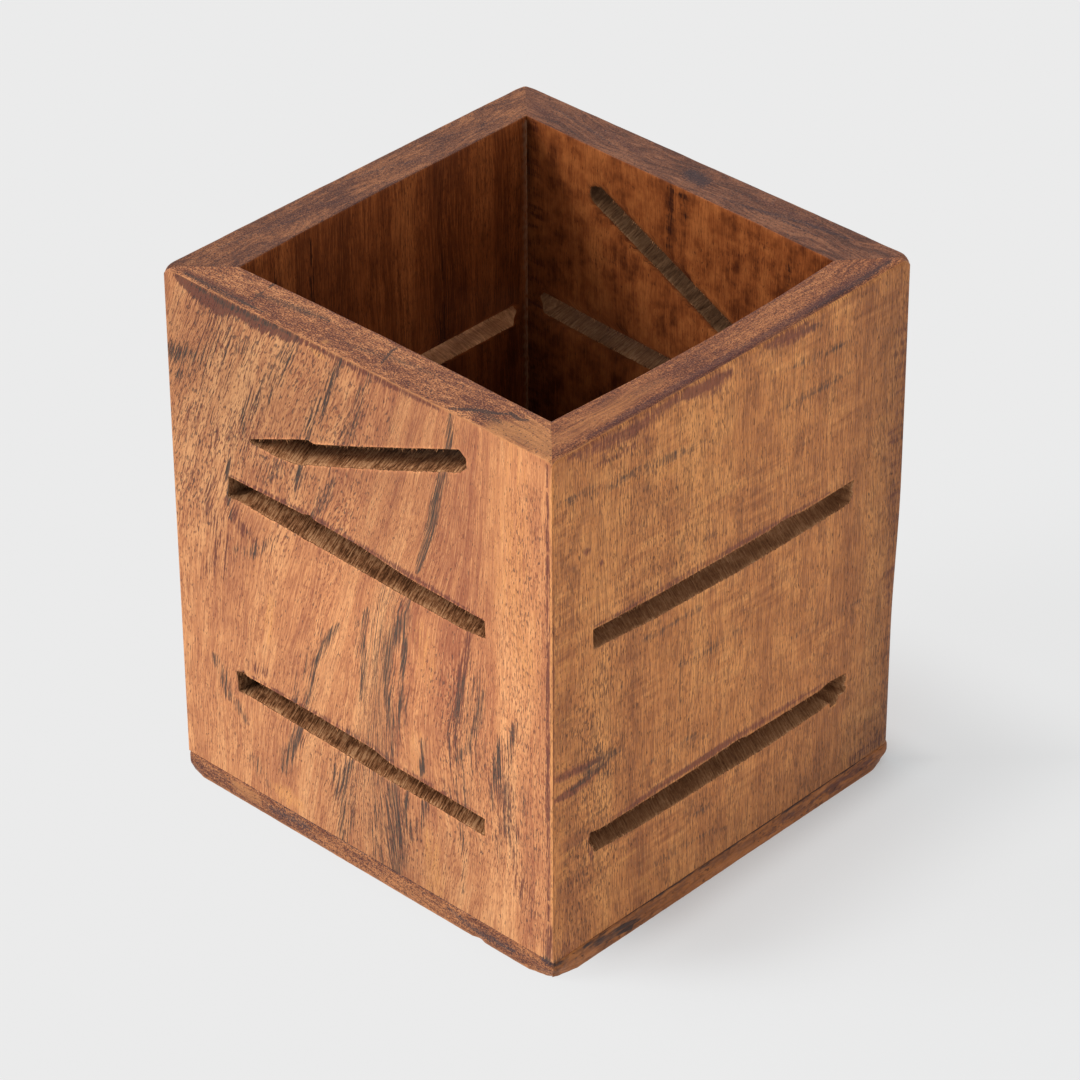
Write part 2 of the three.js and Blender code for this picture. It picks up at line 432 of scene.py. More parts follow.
def end_grain(name, palette, seed, speckled=1.0, ringed=2.0):
    """The cut ends of the fibres: a fine speckle with drawn-out rings, darker for its oil."""
    material, bench = new_material(name)
    grain, marks, wear, shade = wood_place(bench)
    shift = (seed * 11.7, seed * 3.9, seed * 7.3)
    other = shift[::-1]
    wander = bench.centred(bench.noise(grain, (14, 7, 8), shift, 1), 7.0)
    rings = bench.noise(moved(bench, grain, "Y", wander), (9, 0.5, 2), shift, 3, 0.65)
    broad = bench.noise(grain, (13, 5, 5), shift)
    speckle = bench.noise(grain, (0.3, 0.26, 0.3), shift, 2, 0.6)
    vessels = bench.noise(grain, (0.34, 0.34, 0.34), other, 1)
    mottle = bench.noise(grain, (1.4, 0.8, 1), other, 2, 0.6)

    mottled = bench.centred(mottle, 1.3 * speckled)
    level = bench.add(bench.centred(rings, ringed), bench.centred(broad, 1.3), mottled)
    body = bench.levels(level, palette.dark, palette.middle, palette.light, 0.3)
    body = bench.mix(bench.times(bench.between(speckle, 0.49, 0.6), 0.8 * speckled), body, palette.line)
    body = bench.mix(bench.times(bench.between(speckle, 0.47, 0.34), 0.6 * speckled), body, palette.light)
    feather = bench.add(bench.centred(speckle, 1.6), bench.centred(rings, 1.4))
    layers = ((GOLD, palette.gold, 0.75), (STAIN, palette.stain, 0.75), (STREAK, palette.streak, 0.8))
    body = marked(bench, body, marks, feather, layers, 0.1, 0.3)
    pits = bench.between(vessels, 0.62, 0.7)
    body = bench.mix(bench.times(pits, 0.7), body, palette.pore)
    body = shaded(bench, body, shade)
    # Pale worn wood and a painted highlight along the rim's arris
    worn = bench.times(wear, bench.between(speckle, 0.38, 0.55))
    body = bench.mix(bench.times(worn, 0.8), body, WORN_AND_HIGHLIT_END)
    relief = bench.math("SUBTRACT", bench.times(speckle, 0.5), bench.times(pits, 0.3))
    finish_wood(bench, body, bench.between(speckle, 0.3, 0.7, 0.46, 0.62), relief, 0.14, 0.3)
    return material


def sawn_wood(name, contrast, tones):
    """The raw walls of the slots, striped where the saw went through."""
    material, bench = new_material(name)
    grain, _, _, shade = wood_place(bench)
    stripes = bench.noise(grain, (0.3, 5, 2.5), detail=2, roughness=0.65)
    fibres = bench.noise(grain, (0.26, 0.9, 0.25), detail=2, roughness=0.6)
    patches = bench.noise(grain, (6, 4, 4), detail=3, roughness=0.6)
    level = bench.add(
        bench.centred(stripes, 1.9 * contrast),
        bench.centred(fibres, 0.9 * contrast),
        bench.centred(patches, 1.4 * contrast),
    )
    body = shaded(bench, bench.levels(level, *tones, 0.35), shade)
    relief = bench.add(bench.times(stripes, 0.7), bench.times(fibres, 0.4))
    finish_wood(bench, body, 0.85, relief, 0.2, 0.15)
    return material


def fibre_wood():
    """Torn fibres: some dark with oil, some pale."""
    material, bench = new_material("torn_fibre_wood")
    where = bench.node("ShaderNodeTexCoord").outputs["Object"]
    tint = bench.noise(where, (0.7 * MM, 0.7 * MM, 0.7 * MM), detail=1)
    stops = [(0.36, tone(84, 50, 36)), (0.5, tone(142, 92, 60)), (0.64, tone(204, 146, 100))]
    finish_wood(bench, bench.ramp(tint, stops), 0.8, tint, 0.01, 0.1)
    return material


class Shell:
    """A board's surface: points shared by their nominal place, and triangles with a finish."""

    def __init__(self):
        self.index = {}
        self.points = []
        self.sheet = []
        self.faces = []
        self.finishes = []

    def point(self, along, deep, up, sheet):
        key = (round(along, 4), round(deep, 4), round(up, 4))
        if key not in self.index:
            self.index[key] = len(self.points)
            self.points.append(key)
            self.sheet.append(sheet)
        return self.index[key]

    def face(self, corners, finish):
        if len(set(corners)) == len(corners):
            self.faces.append(corners)
            self.finishes.append(finish)


def inside(loop, x, y):
    """Which of the points (x, y) lie within the closed loop."""
    within = np.zeros(len(x), bool)
    x0, y0 = loop[-1]
    for x1, y1 in loop:
        crosses = (y0 > y) != (y1 > y)
        if y0 != y1:
            within ^= crosses & (x < (x1 - x0) * (y - y0) / (y1 - y0) + x0)
        x0, y0 = x1, y1
    return within


def triangulate(loops, loose):
    """Triangles between closed loops, over the loose points: (places, origins, triangles)."""
    points, edges = [], []
    for loop in loops:
        first = len(points)
        points += [Vector(p) for p in loop]
        edges += [(first + i, first + (i + 1) % len(loop)) for i in range(len(loop))]
    points += [Vector(p) for p in loose]
    places, _, triangles, origins, _, _ = delaunay_2d_cdt(points, edges, [], 1, 1e-5)
    return places, origins, triangles


def fill(shell, outline, holes, loose, to_board, finish, flip):
    """Covers the outline, less its holes, with triangles over the loose points."""
    places, _, triangles = triangulate([outline, *holes], loose)
    flat = np.array(places)
    corners = np.array([tuple(face) for face in triangles])
    middle = flat[corners].mean(axis=1)
    keep = np.ones(len(corners), bool)
    for hole in holes:
        low, high = np.min(hole, axis=0), np.max(hole, axis=0)
        spots = np.flatnonzero(np.all((middle > low) & (middle < high), axis=1))
        keep[spots[inside(hole, middle[spots, 0], middle[spots, 1])]] = False
    order = [shell.point(*to_board(*place), finish) for place in flat]
    for face in corners[keep]:
        a, b, c = (order[i] for i in face)
        shell.face((a, c, b) if flip else (a, b, c), finish)


def spaced(low, high, step):
    return np.linspace(low, high, max(2, round((high - low) / step) + 1))


def loose_points(low, high, step, holes, keep_off):
    """A staggered field of points between two corners, clear of the holes' edges."""
    made = []
    for number, row in enumerate(spaced(low[1] + step, high[1] - step, step * 0.87)):
        start = low[0] + step * (0.8 if number % 2 else 1.3)
        count = int((high[0] - step * 0.8 - start) / step) + 1
        made += [(start + i * step, row) for i in range(count)]
    field = np.array(made)
    for hole in holes:
        low_edge, high_edge = np.min(hole, axis=0) - 1, np.max(hole, axis=0) + 1
        near = np.flatnonzero(np.all((field > low_edge) & (field < high_edge), axis=1))
        gaps = np.linalg.norm(field[near, None, :] - np.array(hole)[None, :, :], axis=2).min(axis=1)
        field = np.delete(field, near[gaps < keep_off], axis=0)
    return [tuple(point) for point in field]


def resample(path, count):
    """count points evenly along a path, without its last point."""
    path = np.array(path, float)
    steps = np.linalg.norm(np.diff(path, axis=0), axis=1)
    at = np.concatenate([[0], np.cumsum(steps)])
    wanted = np.linspace(0, at[-1], count, endpoint=False)
    return np.stack([np.interp(wanted, at, path[:, axis]) for axis in (0, 1)], axis=1)


# A slot's edges from left to right as (along, up), and the points between them at its ends
Slot = namedtuple("Slot", "lower upper right_end left_end", defaults=((), ()))

# How far past its opening in the frame a slot runs at either end
PAST_OPENING = 0.4


def straight_slot(left, right, middle, fall, height):
    """A level slot whose right end lies fall lower than its left, torn a little past its ends."""
    half = height / 2
    left_up, right_up = middle + fall / 2, middle - fall / 2
    return Slot(
        lower=[(left, left_up - half), (right, right_up - half)],
        upper=[(left, left_up + half), (right, right_up + half)],
        right_end=[(right + 0.3, right_up - 0.4 * half), (right + 0.9, right_up + 0.5 * half)],
        left_end=[(left - 0.8, left_up + 0.3 * half), (left - 0.2, left_up - 0.5 * half)],
    )


def opening(name):
    """The left end, right end and middle height of a level slot in the back or left board."""
    boxes = {each["name"]: each["box_m"] for each in frame["record"]["physics"]["openings"]}
    low, high = (np.array(corner) / MM for corner in boxes[name])
    axis = 0 if name.startswith("back") else 1
    return -high[axis] - PAST_OPENING, -low[axis] + PAST_OPENING, (low[2] + high[2]) / 2


# Each board's slots from the top down: a rising one in the front and back, then level ones
SLOTS = {
    "front": [
        Slot(
            lower=[(-24.8, 78.2), (-19.1, 78.1), (-14.4, 78.6), (-0.1, 84.1), (8.7, 87.5), (24.5, 94.0)],
            upper=[(-25.4, 78.5), (-15.1, 83), (-11.1, 84.6), (-9.6, 84.4), (0, 88.1), (24.2, 98)],
            right_end=[(25.7, 95.3), (25.8, 97)],
        ),
        Slot(
            lower=[
                (-31.2, 64.7), (-29.2, 64.9), (-17, 64.5), (-3.6, 64.2), (11.1, 63.7), (25.2, 63.4),
                (29.8, 63.9),
            ],
            upper=[
                (-31, 68.6), (-22.9, 68.8), (-12.9, 69), (-11.3, 69.6), (-10.2, 69), (0.7, 68.7),
                (12, 67.5), (29.5, 67.1),
            ],
        ),
        Slot(
            lower=[
                (-30.9, 24.1), (-28, 24.3), (-14.4, 23.9), (4, 23.3), (19.9, 23.3), (26.9, 23),
                (29, 23.1),
            ],
            upper=[
                (-31.2, 27.9), (-29.5, 28.5), (-28.7, 28.1), (-14.2, 28.2), (2.5, 27.8), (6.6, 26.8),
                (14.4, 26.7), (29.1, 26.4),
            ],
        ),
    ],
    "right": [
        Slot(
            lower=[
                (-34.3, 64), (-30, 63.7), (-19.9, 62.7), (-11.6, 62.4), (1.7, 61.8), (15.9, 61.7),
                (30.3, 61.8),
            ],
            upper=[
                (-34.4, 67.7), (-31.7, 67.5), (-20.5, 66.9), (-3.3, 66.4), (9.4, 66.1), (12.5, 66.5),
                (18.3, 65.8), (31.1, 65.9),
            ],
            right_end=[(30.4, 62.8), (31, 63.4), (30.6, 64.2)],
        ),
        Slot(
            lower=[
                (-35.4, 25), (-33.9, 22.3), (-25, 21.7), (-15.5, 21.4), (-0.3, 21.2), (9.6, 20.9),
                (24.5, 21.2), (26.6, 21.5), (27.1, 20.3), (28.3, 20.5), (29, 21.8), (30.8, 21.8),
            ],
            upper=[
                (-35, 26.7), (-32.7, 26.2), (-20, 26), (-8.8, 25.9), (2.7, 26.2), (5, 25.7),
                (13.5, 25.5), (23.8, 25.4), (26.5, 25.9), (30.7, 25.6),
            ],
            right_end=[(31, 22.6), (30.2, 23.6), (31.1, 24.3)],
        ),
    ],
    "back": [
        Slot(
            lower=[(-28.6, 74.2), (-21.1, 74.2), (19.9, 93.7)],
            upper=[(-29.5, 74.4), (18.3, 97.2)],
            right_end=[(20.9, 95), (20.4, 96.6)],
        ),
        straight_slot(*opening("back_middle_slot"), -1.6, 4.1),
        straight_slot(*opening("back_low_slot"), 0.9, 4.2),
    ],
    "left": [
        straight_slot(*opening("left_middle_slot"), -0.9, 3.9),
        straight_slot(*opening("left_low_slot"), 1.1, 4.3),
    ],
}

# How far the slots' edges flare at a face, how ragged they are, and the saw's marks further in
LIP = 0.16
RAGGED_LOWER, RAGGED_UPPER, RAGGED_END = 0.16, 0.06, 0.2
SAW_MARKS = 0.11
# How deep the flare goes, and where the rows of points behind it begin and end
LIP_DEPTH, BEHIND_LIP = 0.3, 0.9


def lip_counts(slot):
    """How many points lie along each lip of a slot, and round each of its ends."""
    return max(8, round((slot.lower[-1][0] - slot.lower[0][0]) / SLOT_STEP)), 12


def slot_loop(slot, seed):
    """A slot's outline, anticlockwise from its lower left corner: (points, outward normals)."""
    lower_count, end_count = lip_counts(slot)
    right_end = [slot.lower[-1], *slot.right_end, slot.upper[-1]]
    left_end = [slot.upper[0], *slot.left_end, slot.lower[0]]
    edges = (
        (slot.lower, lower_count, RAGGED_LOWER),
        (right_end, end_count, RAGGED_END),
        (slot.upper[::-1], lower_count, RAGGED_UPPER),
        (left_end, end_count, RAGGED_END),
    )
    loop = np.concatenate([resample(path, count) for path, count, _ in edges])
    size = np.concatenate([np.full(count, ragged) for _, count, ragged in edges])
    ahead = np.roll(loop, -1, axis=0) - np.roll(loop, 1, axis=0)
    ahead /= np.maximum(np.linalg.norm(ahead, axis=1), 1e-9)[:, None]
    outward = np.stack([ahead[:, 1], -ahead[:, 0]], axis=1)
    rough = [
        noise.noise((x / 0.55, seed, y / 3)) + 0.6 * noise.noise((x / 1.7, seed + 9, y / 3))
        for x, y in loop
    ]
    return loop + outward * (np.array(rough) * size + LIP)[:, None], outward


def slot_loops(plan, number):
    """A slot's seed, its outlines on the outer and the inner face, and its outward normals."""
    slot = SLOTS[plan.name][number]
    seed = 10 * plan.turns + number
    outer_loop, outward = slot_loop(slot, seed)
    inner_loop, _ = slot_loop(slot, seed + 5)
    return seed, outer_loop, inner_loop, outward


def sweep_slot(shell, seed, outer_loop, inner_loop, outward):
    """The slot's sawn walls, from its outline on the outer face to that on the inner one."""
    middle = np.linspace(BEHIND_LIP, WALL - BEHIND_LIP, 11)
    depths = [[0, 0.1, LIP_DEPTH], middle, [WALL - LIP_DEPTH, WALL - 0.1, WALL]]
    rows = []
    for depth in np.concatenate(depths):
        share = depth / WALL
        lips = LIP * (1 - np.clip(min(depth, WALL - depth) / LIP_DEPTH, 0, 1)) ** 2
        row = []
        for i, normal in enumerate(outward):
            x, y = outer_loop[i] * (1 - share) + inner_loop[i] * share
            if 0 < share < 1:
                marks = noise.noise((x / 0.5, depth / 9 + seed, y / 4))
                marks += 0.7 * noise.noise((x / 1.9, depth / 5 + seed, y / 4 + 7))
                out = SAW_MARKS * marks + lips - LIP
                x, y = x + normal[0] * out, y + normal[1] * out
            row.append(shell.point(x, depth, y, SAWN))
        rows.append(row)
    count = len(outward)
    for near, far in zip(rows, rows[1:]):
        for i in range(count):
            j = (i + 1) % count
            shell.face((near[j], near[i], far[i], far[j]), SAWN)


# Each upright corner: its radius, how far across and down its top is worn, and how much wider
# it is rounded near the foot, between the two heights of FOOT_REACH
Corner = namedtuple("Corner", "radius worn_across worn_down foot", defaults=(0.0,))
CORNERS = {
    "front_right": Corner(0.4, 1.4, 1.4),
    "back_right": Corner(0.6, 1.9, 2.8, 1.6),
    "back_left": Corner(0.6, 0.9, 0.8),
    "front_left": Corner(0.4, 1.6, 2.4),
}
FOOT_REACH = (28, 60)
WELL_EASING = 0.3
# The radius sanded on the rim's outer arris
RIM_EASING = {"front": 0.45, "right": 1.0, "back": 0.28, "left": 0.3}
# How far out of their nominal planes the outer faces stand, within the base board's edge
STAND_OUT = {"front": -0.04, "right": -0.04, "back": 0.2, "left": 0.22}
# How thick each board really is at its left end, middle and right end
THICKNESS = {
    "front": (8.85, 9.5, 9.05),
    "right": (8.75, 7.5, 8.95),
    "back": (9.95, 8.95, 8.2),
    "left": (8.2, 8.4, 9.5),
}


def ease(a, b, radius):
    """Rounds a square corner: a and b are the depths below its two faces, in millimetres."""
    radius = np.broadcast_to(radius, a.shape)
    near = (a < radius) & (b < radius) & (a > -1) & (b > -1)
    x, y = 1 - a[near] / radius[near], 1 - b[near] / radius[near]
    pull = np.maximum(x, y) / np.maximum(np.hypot(x, y), 1e-9)
    a, b = a.copy(), b.copy()
    a[near] = radius[near] * (1 - x * pull)
    b[near] = radius[near] * (1 - y * pull)
    return a, b


def neighbours(plan):
    """The names of the boards at the left and the right end."""
    return WALLS[plan.turns - 1].name, WALLS[(plan.turns + 1) % 4].name


def thin_down(plan, along, deep):
    """Moves the inner face to the board's own thickness and keeps its ends on the mitres."""
    before, after = neighbours(plan)
    left, middle, right = THICKNESS[plan.name]
    bow = (left, 0.28 * left + 0.72 * middle, middle, 0.28 * right + 0.72 * middle, right)
    own = np.interp(along / plan.half, (-0.8, -0.4, 0, 0.4, 0.8), bow)
    share = deep / WALL
    beside = np.where(along < 0, THICKNESS[before][2], THICKNESS[after][0])
    near_end = np.clip(np.abs(along) / (plan.half - WALL), 0, 1) ** 4
    return along + np.sign(along) * share * (WALL - beside) * near_end, share * own


def stand_out(plan, along, deep):
    """Moves the outer face, and the ends with it where the neighbours' faces have moved."""
    before, after = neighbours(plan)
    share = 1 - deep / WALL
    beside = np.where(along < 0, STAND_OUT[before], STAND_OUT[after])
    near_end = np.clip(np.abs(along) / (plan.half - deep), 0, 1) ** 8
    return along + np.sign(along) * share * beside * near_end, deep - share * STAND_OUT[plan.name]


def rim_easing(plan, along):
    """The radius sanded on the rim's outer arris, which wanders along the board."""
    wander = [
        noise.noise((x / 6, plan.seed, 0)) + 0.5 * noise.noise((x / 1.6, plan.seed, 4)) for x in along
    ]
    return RIM_EASING[plan.name] * (1 + 0.3 * np.array(wander))


def round_end(plan, side, along, deep, up):
    """Rounds one upright end of the board and wears its top corner down, in place."""
    corner = CORNERS[plan.corners[side > 0]]
    here = along * side > 0
    radius = corner.radius * (0.85 + 0.3 * (1 - smooth(0, 30, RIM_UP - up[here])))
    radius = radius + corner.foot * (1 - smooth(*FOOT_REACH, up[here]))
    rounded_deep, rounded_end = ease(deep[here], plan.half - np.abs(along[here]), radius)
    deep[here] = rounded_deep
    along[here] = side * (plan.half - rounded_end)
    reach = np.maximum(rounded_deep, rounded_end)
    t = np.clip(1 - reach / corner.worn_across, 0, 1)
    drop = corner.worn_down * (1 - np.sqrt(1 - t * t))
    up[here] -= drop * (1 - smooth(0, 3 * corner.worn_down, RIM_UP - up[here]))


def swell(plan, along, deep, up, at_mitre):
    """Makes both faces and the rim a little uneven, away from the mitres, in place."""
    seed = plan.seed
    for i in range(len(along)):
        x, y = along[i], up[i]
        wave = 0.5 * noise.noise((x / 25, y / 30, seed)) + 0.12 * noise.noise((x / 5, y / 8, seed))
        face = 1 if deep[i] < WALL / 2 else -1
        within = 0 if 0.5 < deep[i] < WALL - 0.5 else 1
        deep[i] += face * (0.02 - 0.12 * wave) * at_mitre[i] * within
        if RIM_UP - y < 0.1:
            up[i] += min(0, 0.1 * noise.noise((x / 7, deep[i] / 4, 3 + seed))) * at_mitre[i]


def sand(plan, points):
    """Turns the nominal board into the worn one: eased arrises, worn corners, uneven faces."""
    along, deep, up = points.T.copy()
    end = plan.half - np.abs(along)
    at_mitre = smooth(0, 4, end - deep)
    easing = 0.8 + (rim_easing(plan, along) - 0.8) * smooth(0, 3, end)
    deep, below = ease(deep, RIM_UP - up, easing)
    inner, below = ease(WALL - deep, below, WELL_EASING)
    deep, up = WALL - inner, RIM_UP - below
    for side in (-1, 1):
        round_end(plan, side, along, deep, up)
    swell(plan, along, deep, up, at_mitre)
    along, deep = thin_down(plan, along, deep)
    along, deep = stand_out(plan, along, deep)
    along *= (plan.half - 0.01) / plan.half
    return np.stack([along, deep, up], axis=1)


def place_board(plan, points):
    """Board millimetres to metres in the shared frame, the board's quarter turns on."""
    along, deep, up = points.T
    x, y = along, deep - WALLS[plan.turns - 1].half
    for _ in range(plan.turns):
        x, y = -y, x
    return np.stack([x, y, up], axis=1) * MM


def attributes(mesh, name, kind, values):
    layer = mesh.attributes.new(name, kind, "POINT")
    field = {"FLOAT_VECTOR": "vector", "FLOAT_COLOR": "color", "FLOAT": "value"}[kind]
    layer.data.foreach_set(field, np.asarray(values, np.float32).ravel())


# Loose fibres at the slots' lips: millimetres, the share of places that has one, and places
# where the wood is torn more: along, up, reach and how many times longer
FIBRE_SPACING, FIBRE_LENGTH, FIBRE_WIDTH, FIBRE_SHARE, FIBRE_SEED = 0.42, 0.85, 0.2, 0.55, 7
FIBRE_OUT = 0.18
TORN = {
    "front": [(-31, 66, 3, 1.2), (10, 27, 6, 0.6)],
    "right": [(29, 22.5, 5, 3.2), (29, 64, 4, 2.2), (-35, 21, 2, 1.4)],
    "back": [],
    "left": [],
}


def torn(plan, x, z):
    """How many times longer than usual the fibres are at a place, less one."""
    return sum(more * max(0, 1 - math.hypot(x - u, z - v) / r) for u, v, r, more in TORN[plan.name])


def lip_lines(plan):
    """A mesh of lines along the slots' lips, with the way that loose fibres point there."""
    places, ways, edges = [], [], []
    for number, slot in enumerate(SLOTS[plan.name]):
        lower_count, end_count = lip_counts(slot)
        upper = lower_count + end_count
        _, outer_loop, inner_loop, _ = slot_loops(plan, number)
        for deep, out, loop in ((0, -1, outer_loop), (WALL, 1, inner_loop)):
            for first, last, way in ((0, lower_count, 1), (upper, upper + lower_count, -1)):
                edges += [(len(places) + i, len(places) + i + 1) for i in range(last - first - 1)]
                for x, z in loop[first:last]:
                    places.append((x, deep, z))
                    ways.append((0, FIBRE_OUT * out, way * (1 + torn(plan, x, z))))
    worn = sand(plan, np.array(places))
    ahead = place_board(plan, worn + np.array(ways, float)) - place_board(plan, worn)
    mesh = bpy.data.meshes.new(plan.name + "_lips")
    mesh.from_pydata(place_board(plan, worn).tolist(), edges, [])
    attributes(mesh, "way", "FLOAT_VECTOR", ahead / MM)
    return mesh


def fibre_inputs(tree):
    """Gives the tree its named inputs and its output."""
    numbers = [(name, "Float") for name in ("Spacing", "Length", "Width", "Share")]
    for name, kind in (("Lips", "Geometry"), *numbers, ("Seed", "Int")):
        tree.interface.new_socket(name, in_out="INPUT", socket_type="NodeSocket" + kind)
    tree.interface.new_socket("Fibres", in_out="OUTPUT", socket_type="NodeSocketGeometry")


def fibre_tree(material):
    """Splinters along the lips: one at some of the points, pointing its own way more or less."""
    tree = bpy.data.node_groups.new("torn_fibres", "GeometryNodeTree")
    fibre_inputs(tree)
    bench = Bench(tree)
    given = bench.node("NodeGroupInput").outputs

    def made(kind, inputs, output=0, **settings):
        return bench.node(kind, inputs, **settings).outputs[output]

    def drawn(low, high):
        limits = {0: low, 1: high, "Seed": given["Seed"]}
        return made("FunctionNodeRandomValue", limits, data_type="FLOAT_VECTOR")

    line = made("GeometryNodeMeshToCurve", {"Mesh": given["Lips"]})
    spacing = {"Curve": line, "Length": given["Spacing"]}
    points = made("GeometryNodeResampleCurve", spacing, mode="LENGTH")
    cone = {"Vertices": 4, "Radius Top": 0.0, "Radius Bottom": given["Width"], "Depth": given["Length"]}
    splinter = made("GeometryNodeMeshCone", cone, "Mesh")
    chance = {"Probability": given["Share"], "Seed": given["Seed"]}
    chosen = made("FunctionNodeRandomValue", chance, 3, data_type="BOOLEAN")

    way = made("GeometryNodeInputNamedAttribute", {"Name": "way"}, data_type="FLOAT_VECTOR")
    upright = made("FunctionNodeAlignRotationToVector", {"Vector": way}, axis="Z")
    leaning = made("FunctionNodeEulerToRotation", {0: drawn((-0.5, -0.5, -3), (0.5, 0.5, 3))})
    lean = {"Rotation": upright, "Rotate By": leaning}
    turned = made("FunctionNodeRotateRotation", lean, rotation_space="LOCAL")
    longer = made("ShaderNodeVectorMath", {0: way}, "Value", operation="LENGTH")
    stretch = made("ShaderNodeCombineXYZ", {"X": 1.0, "Y": 1.0, "Z": longer})
    sizes = {0: drawn((0.4, 0.4, 0.3), (1, 1, 1.1)), 1: stretch}
    scale = made("ShaderNodeVectorMath", sizes, operation="MULTIPLY")

    growing = {"Points": points, "Selection": chosen, "Instance": splinter}
    placed = made("GeometryNodeInstanceOnPoints", {**growing, "Rotation": turned, "Scale": scale})
    real = made("GeometryNodeRealizeInstances", {0: placed})
    dressed = made("GeometryNodeSetMaterial", {"Geometry": real, "Material": material})
    bench.put(bench.node("NodeGroupOutput").inputs[0], dressed)
    return tree


def hold_inside(mesh):
    """Bends the tips that would stand out of the cup's box back to it."""
    points = np.empty(3 * len(mesh.vertices))
    mesh.vertices.foreach_get("co", points)
    held = np.clip(points.reshape(-1, 3), np.array(cad_box[0]), np.array(cad_box[1]))
    mesh.vertices.foreach_set("co", held.ravel())
    mesh.update()


def torn_fibres(plan, tree):
    """The loose fibres of one board as a plain mesh."""
    guide = link(plan.name + "_lips", lip_lines(plan))
    grower = guide.modifiers.new("fibres", "NODES")
    grower.node_group = tree
    values = {
        "Spacing": FIBRE_SPACING * MM,
        "Length": FIBRE_LENGTH * MM,
        "Width": 0.5 * FIBRE_WIDTH * MM,
        "Share": FIBRE_SHARE,
        "Seed": FIBRE_SEED + plan.turns,
    }
    for socket in tree.interface.items_tree:
        if socket.in_out == "INPUT" and socket.name in values:
            grower[socket.identifier] = values[socket.name]
    evaluated = guide.evaluated_get(bpy.context.evaluated_depsgraph_get())
    mesh = bpy.data.meshes.new_from_object(evaluated)
    bpy.data.objects.remove(guide)
    hold_inside(mesh)
    mesh.name = plan.name + "_fibres"
    return link(plan.name + "_fibres", mesh)


# A painted mark: its kind, the points it runs through, its half width and its strength
Mark = namedtuple("Mark", "kind path width strength")


def mark(kind, width, strength, *path):
    return Mark(kind, path, width, strength)


streak, stain, gold, porous = (partial(mark, kind) for kind in (STREAK, STAIN, GOLD, PORES))


def paint(marks, x, y):
    """Each mark fades across its width and towards its ends; channels as listed above."""
    channels = np.zeros((len(x), 4))
    for each in marks:
        path = np.array(each.path, float)
        if len(path) == 1:
            path = np.concatenate([path, path + 1e-6])
        lengths = np.linalg.norm(np.diff(path, axis=0), axis=1)
        total = lengths.sum()
        nearest = np.full(len(x), 1e9)
        along = np.zeros(len(x))
        so_far = 0.0
        for start, stop, length in zip(path, path[1:], lengths):
            run = (stop - start) / length
            t = np.clip((x - start[0]) * run[0] + (y - start[1]) * run[1], 0, length)
            gap = np.hypot(x - start[0] - t * run[0], y - start[1] - t * run[1])
            closer = gap < nearest
            nearest = np.where(closer, gap, nearest)
            along = np.where(closer, so_far + t, along)
            so_far += length
        inward = np.minimum(along, total - along)
        taper = np.sqrt(np.clip((inward + each.width) / (0.3 * total + each.width), 0, 1))
        value = each.strength * (1 - smooth(0, 1.5, nearest / (each.width * taper)))
        channels[:, each.kind] = np.maximum(channels[:, each.kind], value)
    return channels


# A broad soft patch of light or shade: its middle, its reach along and up, and its share
Patch = namedtuple("Patch", "along up size lighter")


def cast_shade(patches, x, y):
    """How much lighter each point is than the wood's own colour: painted light and shade, and broad tone."""
    shade = np.zeros(len(x))
    for patch in patches:
        away = ((x - patch.along) / patch.size[0]) ** 2 + ((y - patch.up) / patch.size[1]) ** 2
        shade += patch.lighter * np.exp(-away)
    return shade


# Broad patches on the outer faces. On the right face they are painted shade, darker towards its back end and
# its foot; on the front they darken the top left and the foot and lighten the right
FACE_SHADES = {
    "front": [
        Patch(-34, 94, (28, 20), -0.22),
        Patch(-18, 84, (26, 16), -0.1),
        Patch(4, 98, (22, 16), -0.11),
        Patch(38, 98, (12, 30), 0.11),
        Patch(38, 40, (12, 46), 0.05),
        Patch(-40, 62, (20, 20), -0.12),
        Patch(10, 4, (22, 18), -0.22),
        Patch(12, 52, (30, 14), 0.13),
    ],
    "right": [
        Patch(46, 60, (14, 70), -0.4),
        Patch(44, 8, (22, 18), -0.16),
        Patch(14, 0, (50, 16), -0.3),
        Patch(-14, 60, (34, 40), 0.02),
    ],
    "back": [],
    "left": [],
}
# Painted shade in the wells: darker low down and near the back's corner with the left board, lighter high on
# the left wall as painted light, and a thin dark line for the gap at the top of that corner
INNER_SHADES = {
    "front": [],
    "right": [],
    "back": [
        Patch(38, 62, (8, 50), -0.4),
        Patch(0, 30, (60, 34), -0.5),
        Patch(6, 98, (40, 14), -0.08),
        Patch(36.6, 96, (1.2, 14), -0.6),
    ],
    "left": [
        Patch(-10, 30, (70, 36), -0.4),
        Patch(-30, 75, (10, 24), -0.1),
        Patch(0, 84, (50, 40), 0.14),
    ],
}
# Painted light and shade on the sawn walls: its value at the outer face, and how much it changes up to the
# inner one
SAWN_SHADES = {"front": (0.26, -1.05), "right": (-0.03, -0.08), "back": (-0.5, -0.04), "left": (-0.12, 0.55)}
# Painted shadow at the left end of the front's slots, painted light in the back's lower slots, and the
# darkest that the painted shade gets
SLOT_END_SHADE = 0.65
LOWER_SLOT_LIGHT = 0.3
DARKEST = -0.92
# How far the saw's stripes lean along the board for each millimetre of depth
SAW_LEAN = {"front": 0.5, "right": -0.5, "back": 0.2, "left": -0.2}
# How bright the pale wear and painted highlight on the rim's arris are along each board
WORN_AND_HIGHLIT_ALONG = (-45, -16, -8, 20, 45)
WORN_AND_HIGHLIT_SHARE = {
    "front": (0.25, 0.15, 0.7, 0.8, 1.0),
    "right": (0.8, 0.5, 0.3, 0.2, 0.3),
    "back": (0.2, 0.2, 0.2, 0.2, 0.2),
    "left": (0.2, 0.2, 0.2, 0.2, 0.3),
}

